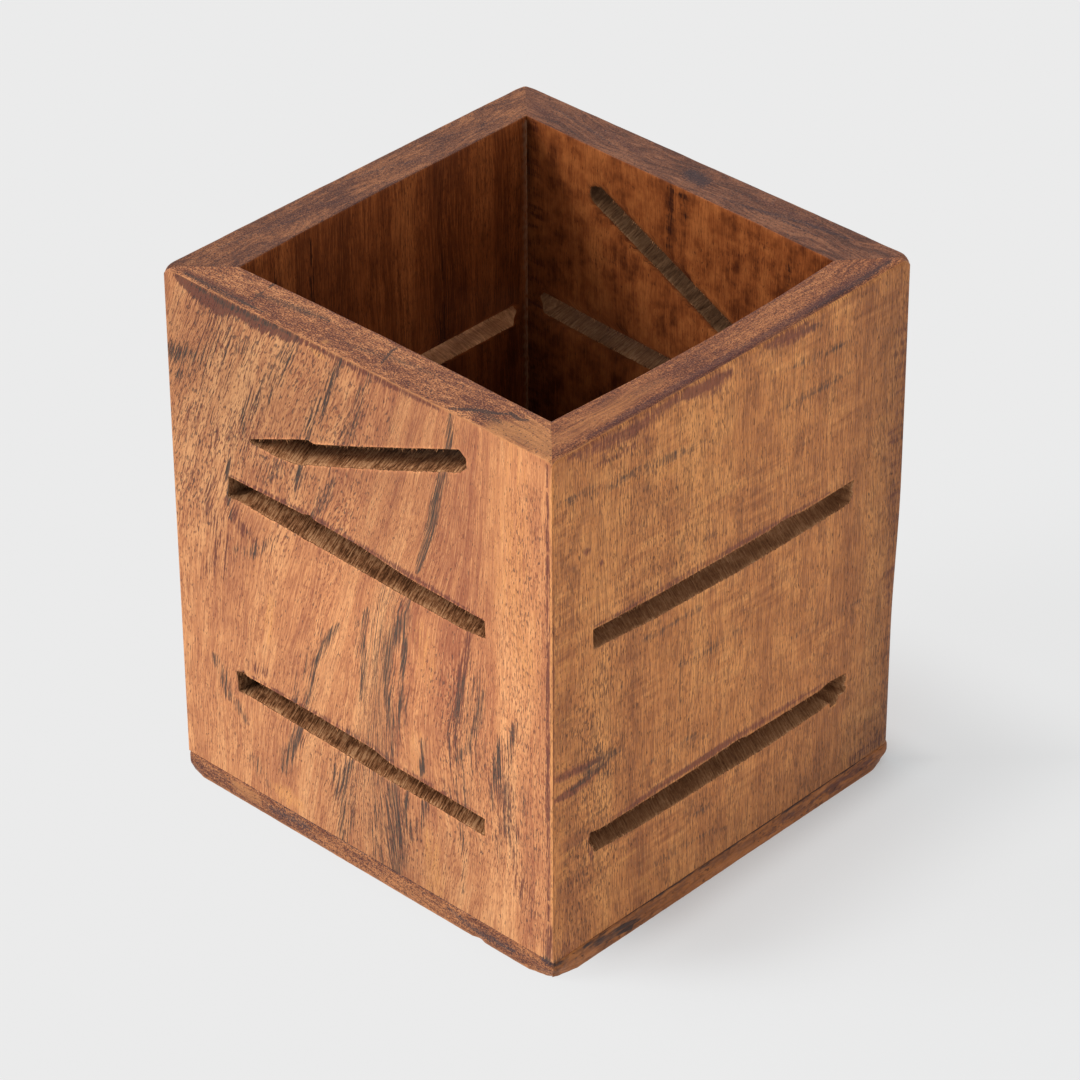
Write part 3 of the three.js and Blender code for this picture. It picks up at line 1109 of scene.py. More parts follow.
FACE_MARKS = {
    "front": [
        streak(1.2, 1.3, (22.6, 104), (22, 98.5), (20.2, 90), (17.8, 81), (15.9, 75), (14, 69.5)),
        streak(2.0, 1.1, (12, 64), (10.9, 58.5), (9, 55.5), (7.1, 51), (6, 44)),
        streak(1.0, 0.8, (11.4, 62), (10.2, 48), (8.4, 36), (7.6, 28)),
        streak(1.5, 0.9, (7.6, 52), (5.9, 43.5), (6.9, 36), (7.1, 29)),
        streak(0.9, 0.7, (4.4, 52), (3.6, 45), (4.2, 36)),
        streak(2.6, 1.1, (7.6, 25), (7.1, 18.5), (7.8, 12.3), (8, 3)),
        streak(1.0, 0.8, (10.9, 23.5), (9.8, 18.5), (11.5, 13)),
        streak(1.1, 0.95, (2.3, 57), (0.5, 52), (0.9, 46), (0, 37)),
        streak(0.7, 0.7, (-0.5, 54), (-0.9, 45)),
        streak(1.1, 0.95, (-5, 50.5), (-8.5, 44.8), (-11, 39.8), (-12.9, 33.5), (-14.1, 28)),
        streak(1.7, 0.9, (-15.2, 24), (-17, 19.8), (-19.1, 16), (-20, 12)),
        streak(2.4, 0.5, (-17, 20), (-18.2, 17)),
        streak(1.3, 0.95, (-2.2, 24.5), (-4.1, 19.8), (-5.4, 13.5), (-6.1, 4)),
        streak(0.8, 0.6, (-7, 20), (-6.8, 12)),
        streak(1.0, 0.85, (14.8, 36), (14, 28)),
        streak(1.2, 0.7, (15.2, 23.5), (14, 18.5), (13.2, 13)),
        stain(1.6, 0.85, (26.2, 64), (24.8, 56), (23.6, 49), (22.4, 41), (21.4, 34)),
        streak(0.9, 0.8, (24.6, 54), (23, 47), (22, 40)),
        streak(1.2, 0.9, (29.2, 53), (27.8, 46), (25.3, 39.8), (22.6, 35.6)),
        streak(1.3, 0.65, (36.4, 50), (34.7, 41), (34.1, 36), (35.5, 28)),
        streak(0.9, 0.75, (33.2, 46), (31.8, 38), (30.9, 29)),
        stain(2.6, 0.55, (34, 44), (33, 34), (33.6, 26)),
        streak(0.9, 0.5, (38.6, 40), (38, 30)),
        streak(1.2, 0.7, (2, 10), (4.2, 6), (4.8, 3)),
        streak(7, 0.42, (8, 62), (5.5, 44), (4, 24), (5, 4)),
        streak(5, 0.36, (27, 56), (24, 40), (23, 24)),
        streak(4, 0.36, (34, 44), (33, 20)),
        streak(4.5, 0.36, (-3, 28), (-5, 4)),
        streak(4, 0.3, (-10, 46), (-15, 30), (-19, 14)),
        streak(0.7, 0.7, (23.2, 24), (24.2, 17), (23.6, 8)),
        streak(1.7, 0.85, (-36.8, 28.5), (-34.8, 26), (-34, 21.5)),
        streak(1.3, 0.7, (-33, 22), (-29, 18)),
        streak(2.0, 0.4, (-28, 11), (-25, 7)),
        streak(0.7, 1.0, (-26.6, 84), (-26.8, 78.5)),
        streak(0.7, 1.0, (-30.9, 74), (-31.3, 69), (-31.1, 60)),
        streak(1.6, 0.65, (-2.5, 104), (-6, 96), (-9.8, 88.5), (-12.9, 81), (-14.8, 73.5), (-17, 67)),
        streak(1.4, 0.6, (4.2, 104), (0.9, 95), (-2.9, 87.3), (-6, 82)),
        streak(2.2, 0.5, (-13, 104), (-15.6, 98.5), (-21, 90), (-27, 82)),
        streak(1.2, 0.55, (-5, 80), (-9, 72), (-11, 69)),
        streak(1.3, 0.5, (-17, 80), (-22, 71)),
        streak(1.6, 0.5, (-19, 62), (-25, 56), (-31, 54)),
        streak(1.0, 0.5, (10, 103), (8.5, 95)),
        streak(2.4, 0.85, (-45, 88.5), (-42, 88.5), (-39, 90)),
        streak(1.2, 0.6, (-45, 83), (-42, 85)),
        stain(5.5, 0.25, (-43, 84), (-36, 90), (-27, 98)),
        stain(14, 0.3, (-36, 100), (-30, 84), (-36, 68)),
        streak(4.0, 0.25, (-41, 86), (-34, 92), (-25, 98)),
        stain(2.2, 1.7, (-41, 104), (-37, 103), (-33, 102.4), (-28, 103.2)),
        stain(1.7, 1.5, (-30, 103.4), (-22, 103), (-12, 103.8)),
        streak(0.7, 1.0, (-38, 104), (-30, 103.4), (-14, 104)),
        stain(1.0, 0.9, (-15, 104), (0, 103.8), (20, 104)),
        gold(1.0, 1.2, (-9, 103.2), (-7, 102.8)),
        stain(1.8, 0.9, (44, 4), (44.2, 11)),
        streak(0.8, 1.0, (42.6, 4), (45, 4.2)),
        stain(0.9, 0.9, (-31, 69), (-11, 69.7), (5, 68.7), (29.5, 67.4)),
        stain(0.9, 0.75, (-30, 28.6), (2.5, 28.4), (8, 27.2), (29, 26.8)),
        stain(2.0, 0.6, (-32, 64), (-29, 60), (-25, 58)),
        stain(1.8, 0.5, (-28, 31), (-22, 31.5)),
        stain(2.4, 0.5, (31, 40), (31.5, 33), (37, 27)),
        stain(4.0, 0.4, (-38, 46), (-33, 52), (-36, 60)),
        stain(0.6, 0.9, (43.9, 104), (43.9, 5)),
        stain(2.6, 0.4, (39, 12), (36, 22)),
        # A pale line down the upright right edge: pale wear and a painted highlight where the rounded corner
        # turns to the light
        gold(0.5, 1.0, (44.7, 104), (44.7, 5)),
        gold(6, 0.45, (36, 104), (36, 80), (39, 60)),
        gold(4, 0.45, (15, 58), (16, 50)),
        gold(1.6, 0.6, (-22, 48), (-22.4, 38)),
        gold(2.4, 0.8, (-22, 7), (-17, 6.5)),
        gold(3, 0.7, (15, 17), (17.5, 10), (16, 4)),
        gold(2.5, 0.4, (13, 36), (13.5, 29)),
        porous(14, 0.9, (-34, 98), (-4, 98), (-6, 76), (-34, 76)),
        porous(9, 0.9, (-40, 88), (-40, 60)),
        porous(10, 0.8, (20, 50), (34, 30), (24, 20)),
        porous(7, 0.8, (40, 96), (39, 60), (40, 10)),
        porous(11, 0.6, (-5, 20), (10, 10)),
    ],
    "right": [
        stain(2.6, 0.85, (-40, 103.6), (-26, 102.4), (-15, 103.4)),
        stain(2.4, 1.05, (-13, 103.4), (-8, 102.2), (-2, 102.2)),
        stain(2.2, 0.95, (7, 103.6), (13, 102.8), (19, 102)),
        stain(1.6, 0.5, (-34, 99.5), (-20, 98.6)),
        stain(1.2, 0.8, (-45, 42.4), (-40, 41.9), (-36, 41.2), (-32, 40.6)),
        stain(1.2, 0.9, (-45, 38.2), (-40, 37.9), (-35, 38.3), (-31, 39.4)),
        streak(0.6, 0.8, (-40, 38.2), (-34, 38.6), (-31, 39.4)),
        streak(1.8, 0.8, (-36, 39.9), (-32, 39.8), (-28, 40.2)),
        streak(1.8, 0.7, (-33.4, 43.4), (-31.5, 40.5), (-31, 37)),
        gold(1.2, 0.5, (-43.5, 40.1), (-37, 39.9)),
        streak(1.5, 0.5, (-44, 95.8), (-34, 94.6), (-24, 93.6), (-12, 92)),
        streak(1.2, 0.42, (-22, 94.5), (-12, 91.8), (0, 91)),
        streak(1.0, 0.6, (11, 89.3), (20, 88.9), (30, 88.4)),
        streak(1.6, 0.4, (12, 96.4), (24, 95), (34, 94.3)),
        streak(1.6, 0.35, (15, 103), (26, 99)),
        streak(1.3, 0.6, (-20, 11.4), (-10, 10.8), (0, 9)),
        streak(1.6, 0.4, (-16, 18.5), (-5, 16)),
        streak(1.6, 0.45, (-22, 59.5), (-8, 59)),
        streak(1.6, 0.4, (-14, 50), (4, 49)),
        streak(1.6, 0.42, (16, 41), (34, 39.5)),
        streak(1.8, 0.4, (-20, 33.5), (-6, 32)),
        streak(0.7, 1.0, (-27.3, 52.6)),
        streak(1.8, 0.45, (-22, 88.8)),
        streak(1.7, 0.5, (-6.2, 72.8), (-5, 72.2)),
        streak(0.6, 0.8, (3, 69)),
        stain(1.0, 0.8, (-36.2, 83.8)),
        stain(0.6, 0.8, (-32.6, 80)),
        stain(0.9, 0.9, (-34, 68.2), (-20, 67.6), (0, 67.2), (25, 66.5)),
        stain(0.9, 1.0, (-34, 26.8), (-18, 27), (0, 27.2), (25, 26.4)),
        stain(0.8, 0.6, (-35.4, 28), (-35.2, 24), (-34.8, 20.5)),
        # A darker band at the back end, over the painted shade there
        stain(4.5, 0.45, (43, 100), (43.5, 60), (43.5, 8)),
        stain(0.5, 1.0, (-44.5, 102), (-44.3, 60), (-44.5, 5)),
        stain(3, 0.6, (34, 6), (43, 7)),
        stain(3, 0.5, (-44, 6), (-40, 5)),
        streak(0.8, 1.0, (-45, 4), (-42.6, 4.2)),
        gold(5, 0.3, (-42, 70), (-42, 20)),
        gold(9, 0.25, (-20, 92), (-10, 84), (2, 80)),
        gold(5, 0.3, (-26, 20), (-20, 8)),
        gold(0.7, 1.0, (28.4, 20.2), (27.2, 20.9)),
        porous(9, 0.7, (-28, 98), (-16, 78), (-28, 60), (-38, 50)),
        porous(10, 1.0, (-36, 48), (-34, 30), (-38, 12)),
    ],
    "back": [
        streak(1.6, 0.6, (-8, 104), (-9, 80), (-6, 40), (-8, 4)),
        streak(1.2, 0.5, (20, 90), (17, 60), (19, 30)),
        stain(1.5, 0.6, (28, 104), (10, 104.5)),
        porous(22, 0.7, (-20, 80), (20, 50)),
    ],
    "left": [
        streak(1.8, 0.55, (12, 104), (10, 70), (13, 40), (12, 4)),
        streak(1.4, 0.5, (-20, 60), (-22, 30)),
        streak(3, 0.5, (43, 90), (41, 84)),
        stain(1.3, 0.6, (30, 104), (10, 104.5)),
        porous(20, 0.7, (-20, 80), (10, 40)),
    ],
}
INNER_MARKS = {
    "front": [streak(1.6, 0.5, (-8, 104), (-10, 60), (-8, 10)), porous(20, 0.5, (0, 80), (0, 30))],
    "right": [streak(1.4, 0.5, (6, 104), (9, 60), (8, 10)), porous(20, 0.5, (0, 80), (0, 30))],
    "back": [
        streak(1.1, 0.9, (1.8, 104), (1.6, 98), (2.2, 92)),
        streak(1.3, 0.6, (-1.2, 104), (-2, 98)),
        streak(0.8, 0.6, (-26, 99), (-26.2, 95)),
        # A darker band down the well's corner with the left board, beside the painted shade there
        stain(3, 0.4, (34.5, 104), (34.5, 40)),
        stain(5, 0.25, (-14, 96), (-20, 100)),
        streak(2, 0.2, (24, 80), (16, 84), (4, 82)),
        porous(14, 0.3, (-30, 95), (20, 85)),
    ],
    "left": [
        streak(1.0, 0.7, (18.5, 104), (18, 85), (18.5, 60)),
        streak(1.4, 0.4, (-14, 85), (-14, 60)),
        streak(1.4, 0.4, (27, 104), (27, 80)),
    ],
}
RIM_MARKS = {
    "front": [
        stain(1.6, 0.9, (-41, 1.5), (-33, 1.7), (-25, 1.6)),
        streak(1.2, 0.6, (-27, 4.5), (-19, 5.6), (-12, 6.4)),
        streak(0.7, 0.8, (-41, 1.0), (-30, 1.0), (-22, 1.2)),
        streak(1.0, 0.5, (-6, 3), (4, 5), (14, 6.5)),
        streak(0.4, 1.3, (-27.4, 8.8), (-27.2, 7.6)),
        streak(0.26, 1.1, (-27.1, 6.8), (-26, 2.2)),
        streak(0.3, 1.3, (2.1, 8.9), (2.4, 6.5), (3.8, 3.0)),
        streak(0.42, 1.7, (21.6, 0.4), (23, 1.6), (26, 3.6), (28.2, 4.6), (30, 6)),
        streak(0.42, 1.6, (29.5, 6.4), (32, 5.8), (33.4, 6.6)),
        streak(1.6, 0.5, (24, 2.6), (30, 3.2)),
        gold(4.6, 0.8, (32, 2), (36, 4), (43, 2.5)),
        gold(0.9, 1.0, (-7.6, 1.4)),
        stain(0.5, 0.6, (-36, 9), (36, 9)),
    ],
    "right": [
        stain(1.8, 0.9, (-35, 0.9), (-10, 1.1), (5, 1.1), (24, 1.6), (40, 1.8)),
        stain(2.0, 0.9, (20, 1.6), (32, 2.0), (41, 2.4)),
        streak(0.9, 0.9, (18, 0.8), (30, 1.2), (41, 1.8)),
        gold(2.6, 0.6, (-42, 4), (-30, 4.5), (-14, 5)),
        stain(1.6, 0.4, (-20, 5), (-4, 6)),
        stain(0.7, 0.6, (5, 8.8), (34, 8.8)),
    ],
    "back": [
        streak(2.2, 1.0, (1.5, 4), (-2, 5)),
        streak(0.7, 0.7, (-12, 6.5), (-24, 3.5), (-34, 2.5)),
        streak(0.5, 0.6, (-6, 7), (-18, 5.5), (-30, 5)),
        streak(0.6, 0.6, (16, 6.5), (26, 4.5), (36, 3)),
        stain(1.2, 0.5, (-30, 2.5), (-10, 3.2)),
        stain(1.4, 0.5, (12, 5), (25, 3)),
        stain(1.5, 0.5, (30, 7), (38, 5)),
    ],
    "left": [
        stain(1.1, 0.5, (28, 2), (16, 4), (5, 7)),
        streak(0.5, 0.5, (36, 2), (24, 3.5), (14, 6)),
        streak(0.5, 0.5, (4, 1.5), (-6, 3.5), (-12, 6.5)),
        streak(0.5, 0.5, (-18, 2.5), (-26, 5), (-34, 6.5)),
        stain(1.3, 0.4, (5, 2), (-6, 4.5), (-16, 8)),
        stain(1.2, 0.35, (-14, 3), (-24, 5), (-32, 8)),
        streak(1.0, 0.5, (36, 8.5), (40, 5.5)),
        stain(0.6, 0.5, (-30, 8.8), (30, 8.8)),
    ],
}

# Lines of upright grain on the outer faces, by their place along the board at each height
GRAIN_HEIGHTS = (4, 20, 40, 60, 80, 104)
GRAIN_LINES = {
    "front": [
        (-90, -90, -90, -88, -84, -76),
        (-46, -46, -46, -45, -38, -28),
        (-19, -16.5, -10.8, -4, 3, 11),
        (-6.4, -3.4, 0.2, 3.6, 9, 16),
        (7.8, 5.4, 6, 9.2, 16.8, 22.6),
        (20.5, 23, 22.4, 25.2, 27.5, 29.5),
        (33, 34.5, 34.4, 34, 34.5, 35),
        (46, 46, 46, 46, 46, 46),
    ],
    "right": [
        (-46, -46, -46, -46, -46, -46),
        (-20, -20.6, -20.2, -20, -20.6, -20.2),
        (10, 10.4, 10, 10.6, 10, 10.2),
        (46, 46, 46, 46, 46, 46),
    ],
}


def grain_place(wall, along, up):
    """How far along the board a point's line of grain lies at the foot of the face."""
    lines = GRAIN_LINES.get(wall, GRAIN_LINES["right"])
    at = np.stack([np.interp(up, GRAIN_HEIGHTS, line) for line in lines])
    feet = [line[0] for line in lines]
    return np.array([np.interp(x, at[:, i], feet) for i, x in enumerate(along)])


def broken(along, up, seed):
    """Wear and its painted highlight come and go along an edge."""
    swings = [0.6 + 0.9 * noise.noise((x / 2.4, z / 2.4, seed)) for x, z in zip(along, up)]
    return np.clip(swings, 0.1, 1)


# How wide the pale wear is on the rim's arris, the upright edges and the well's corner; on the arris and the
# upright edges it also holds a painted highlight
ARRIS_WORN_AND_HIGHLIT, EDGE_WORN_AND_HIGHLIT, WELL_WORN = 0.24, 0.26, 0.35


def worn_and_highlit_edges(plan, along, deep, up):
    """How much pale wood and painted highlight show on the rim's arris and the upright edges, and pale wood
    at a corner of the well.
    """
    below = RIM_UP - up
    arris = np.exp(-(((below + deep) / ARRIS_WORN_AND_HIGHLIT) ** 2)) * (deep < 2) * (below < 2)
    arris *= np.interp(along, WORN_AND_HIGHLIT_ALONG, WORN_AND_HIGHLIT_SHARE[plan.name])
    upright = np.exp(-(((plan.half - np.abs(along) + deep) / EDGE_WORN_AND_HIGHLIT) ** 2)) * (deep < 1)
    wear = np.maximum(arris, 0.45 * upright) * broken(along, up, plan.seed)
    if plan.name == "left":
        corner = np.exp(-(((along + plan.half - WALL + 0.25) / WELL_WORN) ** 2))
        wear = np.maximum(wear, 1.2 * corner * (deep > WALL - 0.01) * (up < RIM_UP - 1))
    return wear


def sawn_shade(wall, along, deep, up):
    """Painted shade on the sawn walls, which darken with depth, with painted shadow at the left end of the
    front's slots and painted light in the back's lower slots.
    """
    at_face, change = SAWN_SHADES[wall]
    shade = at_face + change * deep / WALL
    if wall == "front":
        for slot in SLOTS[wall]:
            beside = np.abs(up - np.interp(along, *np.array(slot.lower).T)) < 6
            past = along - slot.lower[0][0]
            shade = shade - SLOT_END_SHADE * (1 - smooth(0.2, 4, past)) * beside
    if wall == "back":
        shade = shade + LOWER_SLOT_LIGHT * (1 - smooth(70, 74, up))
    return np.maximum(shade, DARKEST)


# What the materials read at each point: the wood's own place, marks, bare wood with painted highlights, and
# shade with painted light and shade
Skin = namedtuple("Skin", "grain marks wear shade")


def board_skin(plan, shell):
    wall = plan.name
    nominal, sheets = np.array(shell.points), np.array(shell.sheet)
    along, deep, up = nominal.T
    on_rim = (up > RIM_UP - 0.01) | (sheets == RIM)
    on_face = (deep < 0.01) & ~on_rim
    on_inner = (deep > WALL - 0.01) & ~on_rim
    marks = np.zeros((len(nominal), 4))
    painted = ((on_face, FACE_MARKS, up), (on_inner, INNER_MARKS, up), (on_rim, RIM_MARKS, deep))
    for here, board_marks, across in painted:
        marks[here] = paint(board_marks[wall], along[here], across[here])
    grain = nominal.copy()
    grain[:, 0] = np.where(on_face, grain_place(wall, along, up), along)
    grain[:, 0] += np.where(sheets == SAWN, SAW_LEAN[wall] * deep, 0)
    shade = np.where(on_face, cast_shade(FACE_SHADES[wall], along, up), 0)
    shade = np.where(on_inner, cast_shade(INNER_SHADES[wall], along, up), shade)
    shade = np.where(sheets == SAWN, sawn_shade(wall, along, deep, up), shade)
    return Skin(grain, marks, worn_and_highlit_edges(plan, along, deep, up), shade)


def make_piece(name, points, faces, finishes, skin):
    """A smooth piece with sharp arrises, from points in metres and each face's finish."""
    mesh = bpy.data.meshes.new(name)
    mesh.from_pydata(points.tolist(), [], faces)
    mesh.polygons.foreach_set("material_index", finishes)
    mesh.polygons.foreach_set("use_smooth", [True] * len(faces))
    attributes(mesh, "grain", "FLOAT_VECTOR", skin.grain)
    attributes(mesh, "marks", "FLOAT_COLOR", skin.marks)
    attributes(mesh, "wear", "FLOAT", skin.wear)
    attributes(mesh, "shade", "FLOAT", skin.shade)
    mesh.set_sharp_from_angle(angle=math.radians(SHARP_ANGLE))
    mesh.validate()
    return link(name, mesh)


# Where the lines of points lie: along the board, in from its face, and up it
Lines = namedtuple("Lines", "top foot inner_top inner_foot up deep")


def board_lines(plan):
    half, well = plan.half, plan.half - WALL
    tops = spaced(-half + 1.7, half - 1.7, RIM_STEP)
    risers = spaced(SEAM_UP + 1, RIM_UP - 1.7, RISER_STEP)
    deeps = spaced(1.7, WALL - 0.6, RIM_STEP)
    return Lines(
        top=np.concatenate([[-half], -half + ARRIS_STEPS, tops, half - ARRIS_STEPS[::-1], [half]]),
        foot=np.concatenate([[-half], spaced(-half + 1.5, half - 1.5, FOOT_STEP), [half]]),
        inner_top=spaced(-well, well, RIM_STEP),
        inner_foot=spaced(-well, well, FOOT_STEP),
        up=np.concatenate([[SEAM_UP, SEAM_UP + 0.2], risers, RIM_UP - ARRIS_STEPS[::-1], [RIM_UP]]),
        deep=np.concatenate([[0], ARRIS_STEPS, deeps, [WALL - 0.3, WALL - 0.12, WALL]]),
    )


def around(foot, top, reach, up):
    """The outline of a face that runs from -reach to reach, anticlockwise."""
    loop = [(x, SEAM_UP) for x in foot[:-1]]
    loop += [(reach, z) for z in up[:-1]]
    loop += [(x, RIM_UP) for x in top[::-1][:-1]]
    loop += [(-reach, z) for z in up[::-1][:-1]]
    return loop


def cover_outer(shell, plan, lines, slots):
    half = plan.half
    loose = [(x, RIM_UP - a) for a in ARRIS_STEPS for x in lines.top[1:-1]]
    loose += [(x, SEAM_UP + 0.2) for x in lines.foot[1:-1]]
    loose += [(side * (half - a), z) for a in ARRIS_STEPS for side in (-1, 1) for z in lines.up[2:-5]]
    low, high = (-half + 1.1, SEAM_UP + 0.3), (half - 1.1, RIM_UP - 1.1)
    loose += loose_points(low, high, plan.step, slots, SLOT_MARGIN)
    outline = around(lines.foot, lines.top, half, lines.up)
    fill(shell, outline, slots, loose, lambda x, y: (x, 0, y), OUTER, False)


def cover_inner(shell, plan, lines, slots):
    well = plan.half - WALL
    loose = [(x, RIM_UP - a) for a in (0.12, 0.3) for x in lines.inner_top[1:-1]]
    loose += loose_points((-well, SEAM_UP), (well, RIM_UP - 0.3), SHADED_STEP, slots, SLOT_MARGIN)
    outline = around(lines.inner_foot, lines.inner_top, well, lines.up)
    fill(shell, outline, slots, loose, lambda x, y: (x, WALL, y), INNER, True)


def cover_ends(shell, plan, lines):
    """The rim and the foot, which end on the mitres."""
    half = plan.half
    ends = [(half - d, d) for d in lines.deep[1:-1]]
    other_ends = [(-x, d) for x, d in ends[::-1]]
    rim = [(x, 0) for x in lines.top] + ends + [(x, WALL) for x in lines.inner_top[::-1]] + other_ends
    loose = [(x, d) for d in lines.deep[1:-1] for x in lines.top[1:-1] if half - abs(x) > d + 0.25]
    fill(shell, rim, [], loose, lambda x, y: (x, y, RIM_UP), RIM, False)
    foot = [(x, 0) for x in lines.foot] + ends + [(x, WALL) for x in lines.inner_foot[::-1]] + other_ends
    fill(shell, foot, [], [], lambda x, y: (x, y, SEAM_UP), JOINT, True)


def cover_mitre(shell, plan, lines, side):
    up, deep = lines.up, lines.deep
    outline = [(d, SEAM_UP) for d in deep[:-1]] + [(WALL, z) for z in up[:-1]]
    outline += [(d, RIM_UP) for d in deep[::-1][:-1]] + [(0, z) for z in up[::-1][:-1]]
    loose = [(d, RIM_UP - a) for a in ARRIS_STEPS for d in deep[1:-1]]
    fill(shell, outline, [], loose, lambda x, y: (side * (plan.half - x), x, y), JOINT, side < 0)


def make_board(plan):
    shell = Shell()
    outer_slots, inner_slots = [], []
    for number in range(len(SLOTS[plan.name])):
        seed, outer_loop, inner_loop, outward = slot_loops(plan, number)
        sweep_slot(shell, seed, outer_loop, inner_loop, outward)
        outer_slots.append([tuple(p) for p in outer_loop])
        inner_slots.append([tuple(p) for p in inner_loop])
    lines = board_lines(plan)
    cover_outer(shell, plan, lines, outer_slots)
    cover_inner(shell, plan, lines, inner_slots)
    cover_ends(shell, plan, lines)
    for side in (-1, 1):
        cover_mitre(shell, plan, lines, side)
    points = place_board(plan, sand(plan, np.array(shell.points)))
    skin = board_skin(plan, shell)
    return make_piece(plan.name + "_board", points, shell.faces, shell.finishes, skin)


# The base board: the radius of its front right, back right, back left and front left corner,
# and how its upper and lower arrises are eased
BASE_CORNERS = (1.3, 2.2, 1.2, 1.1)
BASE_EASING, BASE_FOOT_EASING = 0.55, 0.25
BASE_STEP, BASE_MARGIN = 2.0, 1.5
END_GRAIN, SIDE_GRAIN = range(2)
BASE_FRONT_MARKS = [
    streak(0.3, 0.9, (-44, 4.2), (0, 4.2), (44, 4.2)),
    streak(1.3, 0.6, (-24, 2.2), (-14, 2.8)),
    gold(1.5, 0.8, (-33, 2.6), (-27, 2.4)),
    stain(2.0, 0.35, (-44, 2.2), (-38, 2.2)),
    stain(1.2, 0.55, (-24, 1.4), (-10, 1.2)),
    stain(1.0, 0.4, (-6, 2.6), (6, 2.8)),
    streak(0.9, 0.7, (20, 3.2), (24, 2.2), (30, 1.8), (36, 2.2)),
    stain(1.4, 0.5, (28, 2.8), (44, 2.4)),
    gold(1.2, 0.3, (8, 1.8), (20, 1.4)),
    streak(0.9, 1.0, (42.6, 3.9), (45.3, 3.5)),
]
BASE_RIGHT_MARKS = [
    streak(1.0, 1.2, (-37, 3.9), (-32, 2.6), (-25, 1.2)),
    streak(0.6, 1.0, (-33, 3.8), (-22, 1.4)),
    gold(1.6, 0.8, (-42, 1.5), (-34, 1.0)),
    streak(0.45, 1.3, (-40, 4.2), (0, 4.2), (44, 4.2)),
    streak(0.6, 0.5, (-42, 2), (-37, 3)),
    streak(0.8, 1.0, (-45, 3.6), (-42, 3.9)),
    gold(0.8, 0.6, (-20, 0.9), (10, 0.9), (36, 1.2)),
    stain(2.6, 0.45, (10, 2.4), (42, 2.4)),
]


def chip_depth(x, y, up):
    """Splinters missing from the base board's edges, mostly low at its front corner."""
    corner = math.hypot(x - base_high[0], y - base_low[1])
    rough = 0.9 + 0.25 * noise.noise((x / 1.2, y / 1.2, up / 0.9))
    depth = 0.4 * max(0, 1 - corner / 2.6) * rough
    low = max(0, 1 - corner / 6) * max(0, 1 - up / 2.2)
    nick = math.hypot((x - 27.5) / 1.6, (up - 0.3) / 0.9) if y < 0 else 9
    left = math.hypot(x + base_high[0], y - base_low[1])
    right = math.hypot(x - base_high[0], y - base_high[1])
    knock = 1.1 * max(0, 1 - left / 4) * max(0, 1 - up / 1.8)
    knock += 1.2 * smooth(6, 0.5, right) * smooth(2.6, 0, up)
    return depth + 1.7 * low * rough + 0.5 * max(0, 1 - nick) + knock


def base_ring():
    """Points round the base board's edge with their outward normals, anticlockwise."""
    half_x, half_y = base_high[0], base_high[1]
    ring, normals = [], []
    signs = ((1, -1), (1, 1), (-1, 1), (-1, -1))
    for quarter, ((sx, sy), radius) in enumerate(zip(signs, BASE_CORNERS)):
        start = -math.pi / 2 + quarter * math.pi / 2
        centre = np.array([sx * (half_x - radius), sy * (half_y - radius)])
        for angle in start + np.linspace(0, math.pi / 2, 9):
            normals.append(np.array([math.cos(angle), math.sin(angle)]))
            ring.append(centre + radius * normals[-1])
        ahead = np.array(((0, 1), (-1, 0), (0, -1), (1, 0))[quarter])
        whole = 2 * (half_y if quarter % 2 == 0 else half_x)
        length = whole - radius - BASE_CORNERS[(quarter + 1) % 4]
        for run in spaced(0, length, RIM_STEP)[1:-1]:
            ring.append(centre + radius * normals[-1] + ahead * run)
            normals.append(normals[-1])
    return ring, normals


def base_profile():
    """How far in the base board's edge lies at each height, from the underside up."""
    thick = base_high[2]
    arc = [(1 - math.sin(a), 1 - math.cos(a)) for a in np.linspace(0, math.pi / 2, 5)]
    profile = [(BASE_FOOT_EASING * inset, BASE_FOOT_EASING * up) for inset, up in arc]
    profile += [(0.0, up) for up in np.linspace(BASE_FOOT_EASING, thick - BASE_EASING, 8)[1:-1]]
    return profile + [(BASE_EASING * inset, thick - BASE_EASING * up) for inset, up in arc[::-1]]


def base_edge(ring, normals):
    """The points, faces and finishes of the base board's edge, ring upon ring."""
    points, faces, finishes = [], [], []
    for inset, up in base_profile():
        for (x, y), normal in zip(ring, normals):
            wave = 0.06 * (1 + noise.noise((x / 7, y / 7, up / 3)))
            wave += 0.04 * noise.noise((x / 1.3, y / 1.3, up))
            x, y = np.array((x, y)) - normal * (inset + wave + chip_depth(x, y, up))
            points.append((x, y, up))
    count = len(ring)
    for first in range(0, len(points) - count, count):
        for i, (across, ahead) in enumerate(normals):
            j = (i + 1) % count
            faces.append((first + i, first + j, first + count + j, first + count + i))
            finishes.append(END_GRAIN if abs(ahead) > abs(across) else SIDE_GRAIN)
    return points, faces, finishes


def cap_base(points, faces, finishes, first, count, flip):
    """Closes the base board across the ring of points that starts with the first."""
    up = points[first][2]
    border = [point[:2] for point in points[first : first + count]]
    reach_x, reach_y = base_high[0] - BASE_MARGIN, base_high[1] - BASE_MARGIN
    loose = loose_points((-reach_x, -reach_y), (reach_x, reach_y), BASE_STEP, [border], 0.5 * BASE_STEP)
    places, origins, triangles = triangulate([border], loose)
    order = []
    for place, origin in zip(places, origins):
        if origin and origin[0] < count:
            order.append(first + origin[0])
        else:
            order.append(len(points))
            points.append((place[0], place[1], up))
    for a, b, c in triangles:
        faces.append((order[c], order[b], order[a]) if flip else (order[a], order[b], order[c]))
        finishes.append(SIDE_GRAIN)


